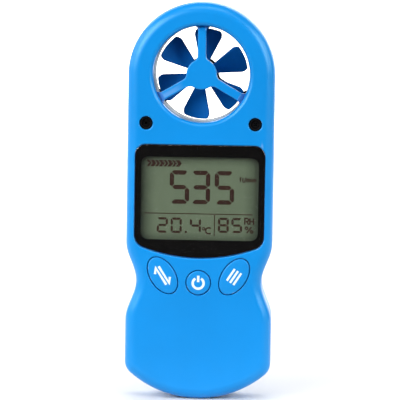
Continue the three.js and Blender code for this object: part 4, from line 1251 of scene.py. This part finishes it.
CARRIED = {
    "rotor_shaft": ("steel", 0.05),
    "rotor_magnet": ("magnet", 0.08),
    "front_bearing": ("brass", 0.05),
    "rear_bearing": ("brass", 0.05),
    "hall_sensor": ("epoxy", 0.08),
    "hall_ribbon": ("ribbon", 0.03),
    "lcd_polariser": ("display_film", 0.02),
    "lcd_front_pane": ("display_glass", 0.05),
    "lcd_rear_pane": ("display_glass", 0.05),
    "lcd_reflector": ("display_film", 0.03),
    "lcd_frame": ("white_plastic", 0.15),
    "zebra_strip": ("rubber", 0.15),
    "main_board": ("board", 0.05),
    "controller": ("epoxy", 0.05),
    "crystal": ("steel", 0.25),
    "thermistor": ("epoxy", 0.03),
    "humidity_sensor": ("white_plastic", 0.15),
    "units_switch": ("black_plastic", 0.12),
    "power_switch": ("black_plastic", 0.12),
    "set_switch": ("black_plastic", 0.12),
    "contact_negative": ("brass", 0.04),
    "contact_positive": ("brass", 0.04),
}


def carried(node, slot_name, edge):
    """Gives a CAD node its finish and small rounded edges."""
    target = frame["nodes"][node]
    custom = target.data.attributes.get("custom_normal")
    if custom:
        target.data.attributes.remove(custom)
    target.data.materials.clear()
    target.data.materials.append(MATERIALS[slot_name])
    weld = target.modifiers.new("weld", "WELD")
    weld.merge_threshold = 1e-6
    bevel = target.modifiers.new("edges", "BEVEL")
    bevel.width = edge * MM
    bevel.segments = 2
    bevel.limit_method = "ANGLE"
    bevel.angle_limit = SHARP
    bevel.harden_normals = True
    target.data.shade_smooth()


for node, (slot_name, edge) in CARRIED.items():
    carried(node, slot_name, edge)

# ---- Camera ----

scene = bpy.context.scene
TARGET = (cad_low + cad_high) / 2
AZIMUTH, ELEVATION, ROLL = math.radians(2.28), math.radians(5.59), math.radians(0.87)
DISTANCE = 0.7


def camera_at(azimuth, elevation, roll, distance):
    level = Vector((math.cos(azimuth), math.sin(azimuth), 0.0))
    outward = Vector((math.sin(azimuth), -math.cos(azimuth), 0.0))
    back = outward * math.cos(elevation) + Vector((0.0, 0.0, math.sin(elevation)))
    upright = back.cross(level)
    right = math.cos(roll) * level + math.sin(roll) * upright
    up = math.cos(roll) * upright - math.sin(roll) * level
    matrix = Matrix((right, up, back)).transposed().to_4x4()
    matrix.translation = TARGET + back * distance
    return matrix


camera_data = bpy.data.cameras.new("camera")
camera_data.lens = 211.0
camera_data.sensor_width = 36.0
camera_data.shift_x = -0.0015
camera_data.shift_y = -0.001
camera = linked("camera", camera_data)
camera.matrix_world = camera_at(AZIMUTH, ELEVATION, ROLL, DISTANCE)
scene.camera = camera

# ---- Light and stage ----


LAMP_LIFT = 0.06


def around(azimuth, elevation, distance):
    """A place LAMP_LIFT above the floor's level, turned and raised in degrees from the face's front.

    A positive azimuth is to the right in the photo.
    """
    turn, rise = math.radians(azimuth), math.radians(elevation)
    level = distance * math.cos(rise)
    return (level * math.sin(turn), -level * math.cos(turn), LAMP_LIFT + distance * math.sin(rise))


def softbox(name, position, width, height, power, aim=TARGET):
    """A soft rectangular lamp, its size in metres and its power in watts."""
    data = bpy.data.lights.new(name, "AREA")
    data.shape = "RECTANGLE"
    data.size = width
    data.size_y = height
    data.energy = power
    lamp = linked(name, data)
    lamp.location = position
    lamp.rotation_euler = (aim - Vector(position)).to_track_quat("-Z", "Y").to_euler()


def stage_sheet(name, corners, colour, glow=0.0):
    """A stage surface; glow is what it gives off."""
    mesh = bpy.data.meshes.new(name)
    mesh.from_pydata(corners, [], [(0, 1, 2, 3)])
    material, bsdf = shader(name, colour, 0.8)
    bsdf.inputs["Emission Color"].default_value = (*WHITE, 1.0)
    bsdf.inputs["Emission Strength"].default_value = glow
    mesh.materials.append(material)
    linked(name, mesh)


world = bpy.data.worlds.new("studio")
world.use_nodes = True
background = world.node_tree.nodes["Background"]
background.inputs["Color"].default_value = (*WHITE, 1.0)
background.inputs["Strength"].default_value = 0.05
scene.world = world

# The pale floor ends just in front of the meter, so that it doesn't light the face too strongly from
# below. A darker apron carries on from there, and stops before the window would mirror it.
STAGE_HALF = 1.4
APRON_NEAR, FLOOR_NEAR, FLOOR_FAR, WALL_TOP = -0.32, -0.055, 1.1, 0.8


def level_sheet(near, far):
    return [(-STAGE_HALF, near, 0), (STAGE_HALF, near, 0), (STAGE_HALF, far, 0), (-STAGE_HALF, far, 0)]


wall = [
    (-STAGE_HALF, FLOOR_FAR, 0),
    (STAGE_HALF, FLOOR_FAR, 0),
    (STAGE_HALF, FLOOR_FAR, WALL_TOP),
    (-STAGE_HALF, FLOOR_FAR, WALL_TOP),
]
stage_sheet("floor", level_sheet(FLOOR_NEAR, FLOOR_FAR), (0.7, 0.7, 0.7))
stage_sheet("apron", level_sheet(APRON_NEAR, FLOOR_NEAR), (0.26, 0.26, 0.26))
stage_sheet("backdrop", wall, (0.9, 0.9, 0.9), 1.05)

# Each lamp's azimuth, elevation and distance, then its width, height and power.
LAMPS = {
    "left_light": ((-53.0, 25.0, 1.1), (0.6, 0.7, 9.2)),
    "left_rim_light": ((-92.0, 22.0, 1.1), (0.45, 0.7, 3.2)),
    "right_light": ((50.0, 21.0, 1.1), (0.4, 0.6, 6.0)),
    "right_rim_light": ((78.0, 22.0, 1.1), (0.4, 0.6, 3.4)),
    "key_light": ((-30.0, 24.0, 1.35), (0.5, 0.5, 5.4)),
    "top_light": ((8.0, 62.0, 1.3), (0.8, 0.5, 4.0)),
}
for name, (place, lamp) in LAMPS.items():
    softbox(name, around(*place), *lamp)
softbox("floor_light", (0.0, 0.75, 0.8), 1.8, 0.5, 12.0, Vector((0.0, 0.75, 0.0)))

scene.view_settings.view_transform = "Standard"
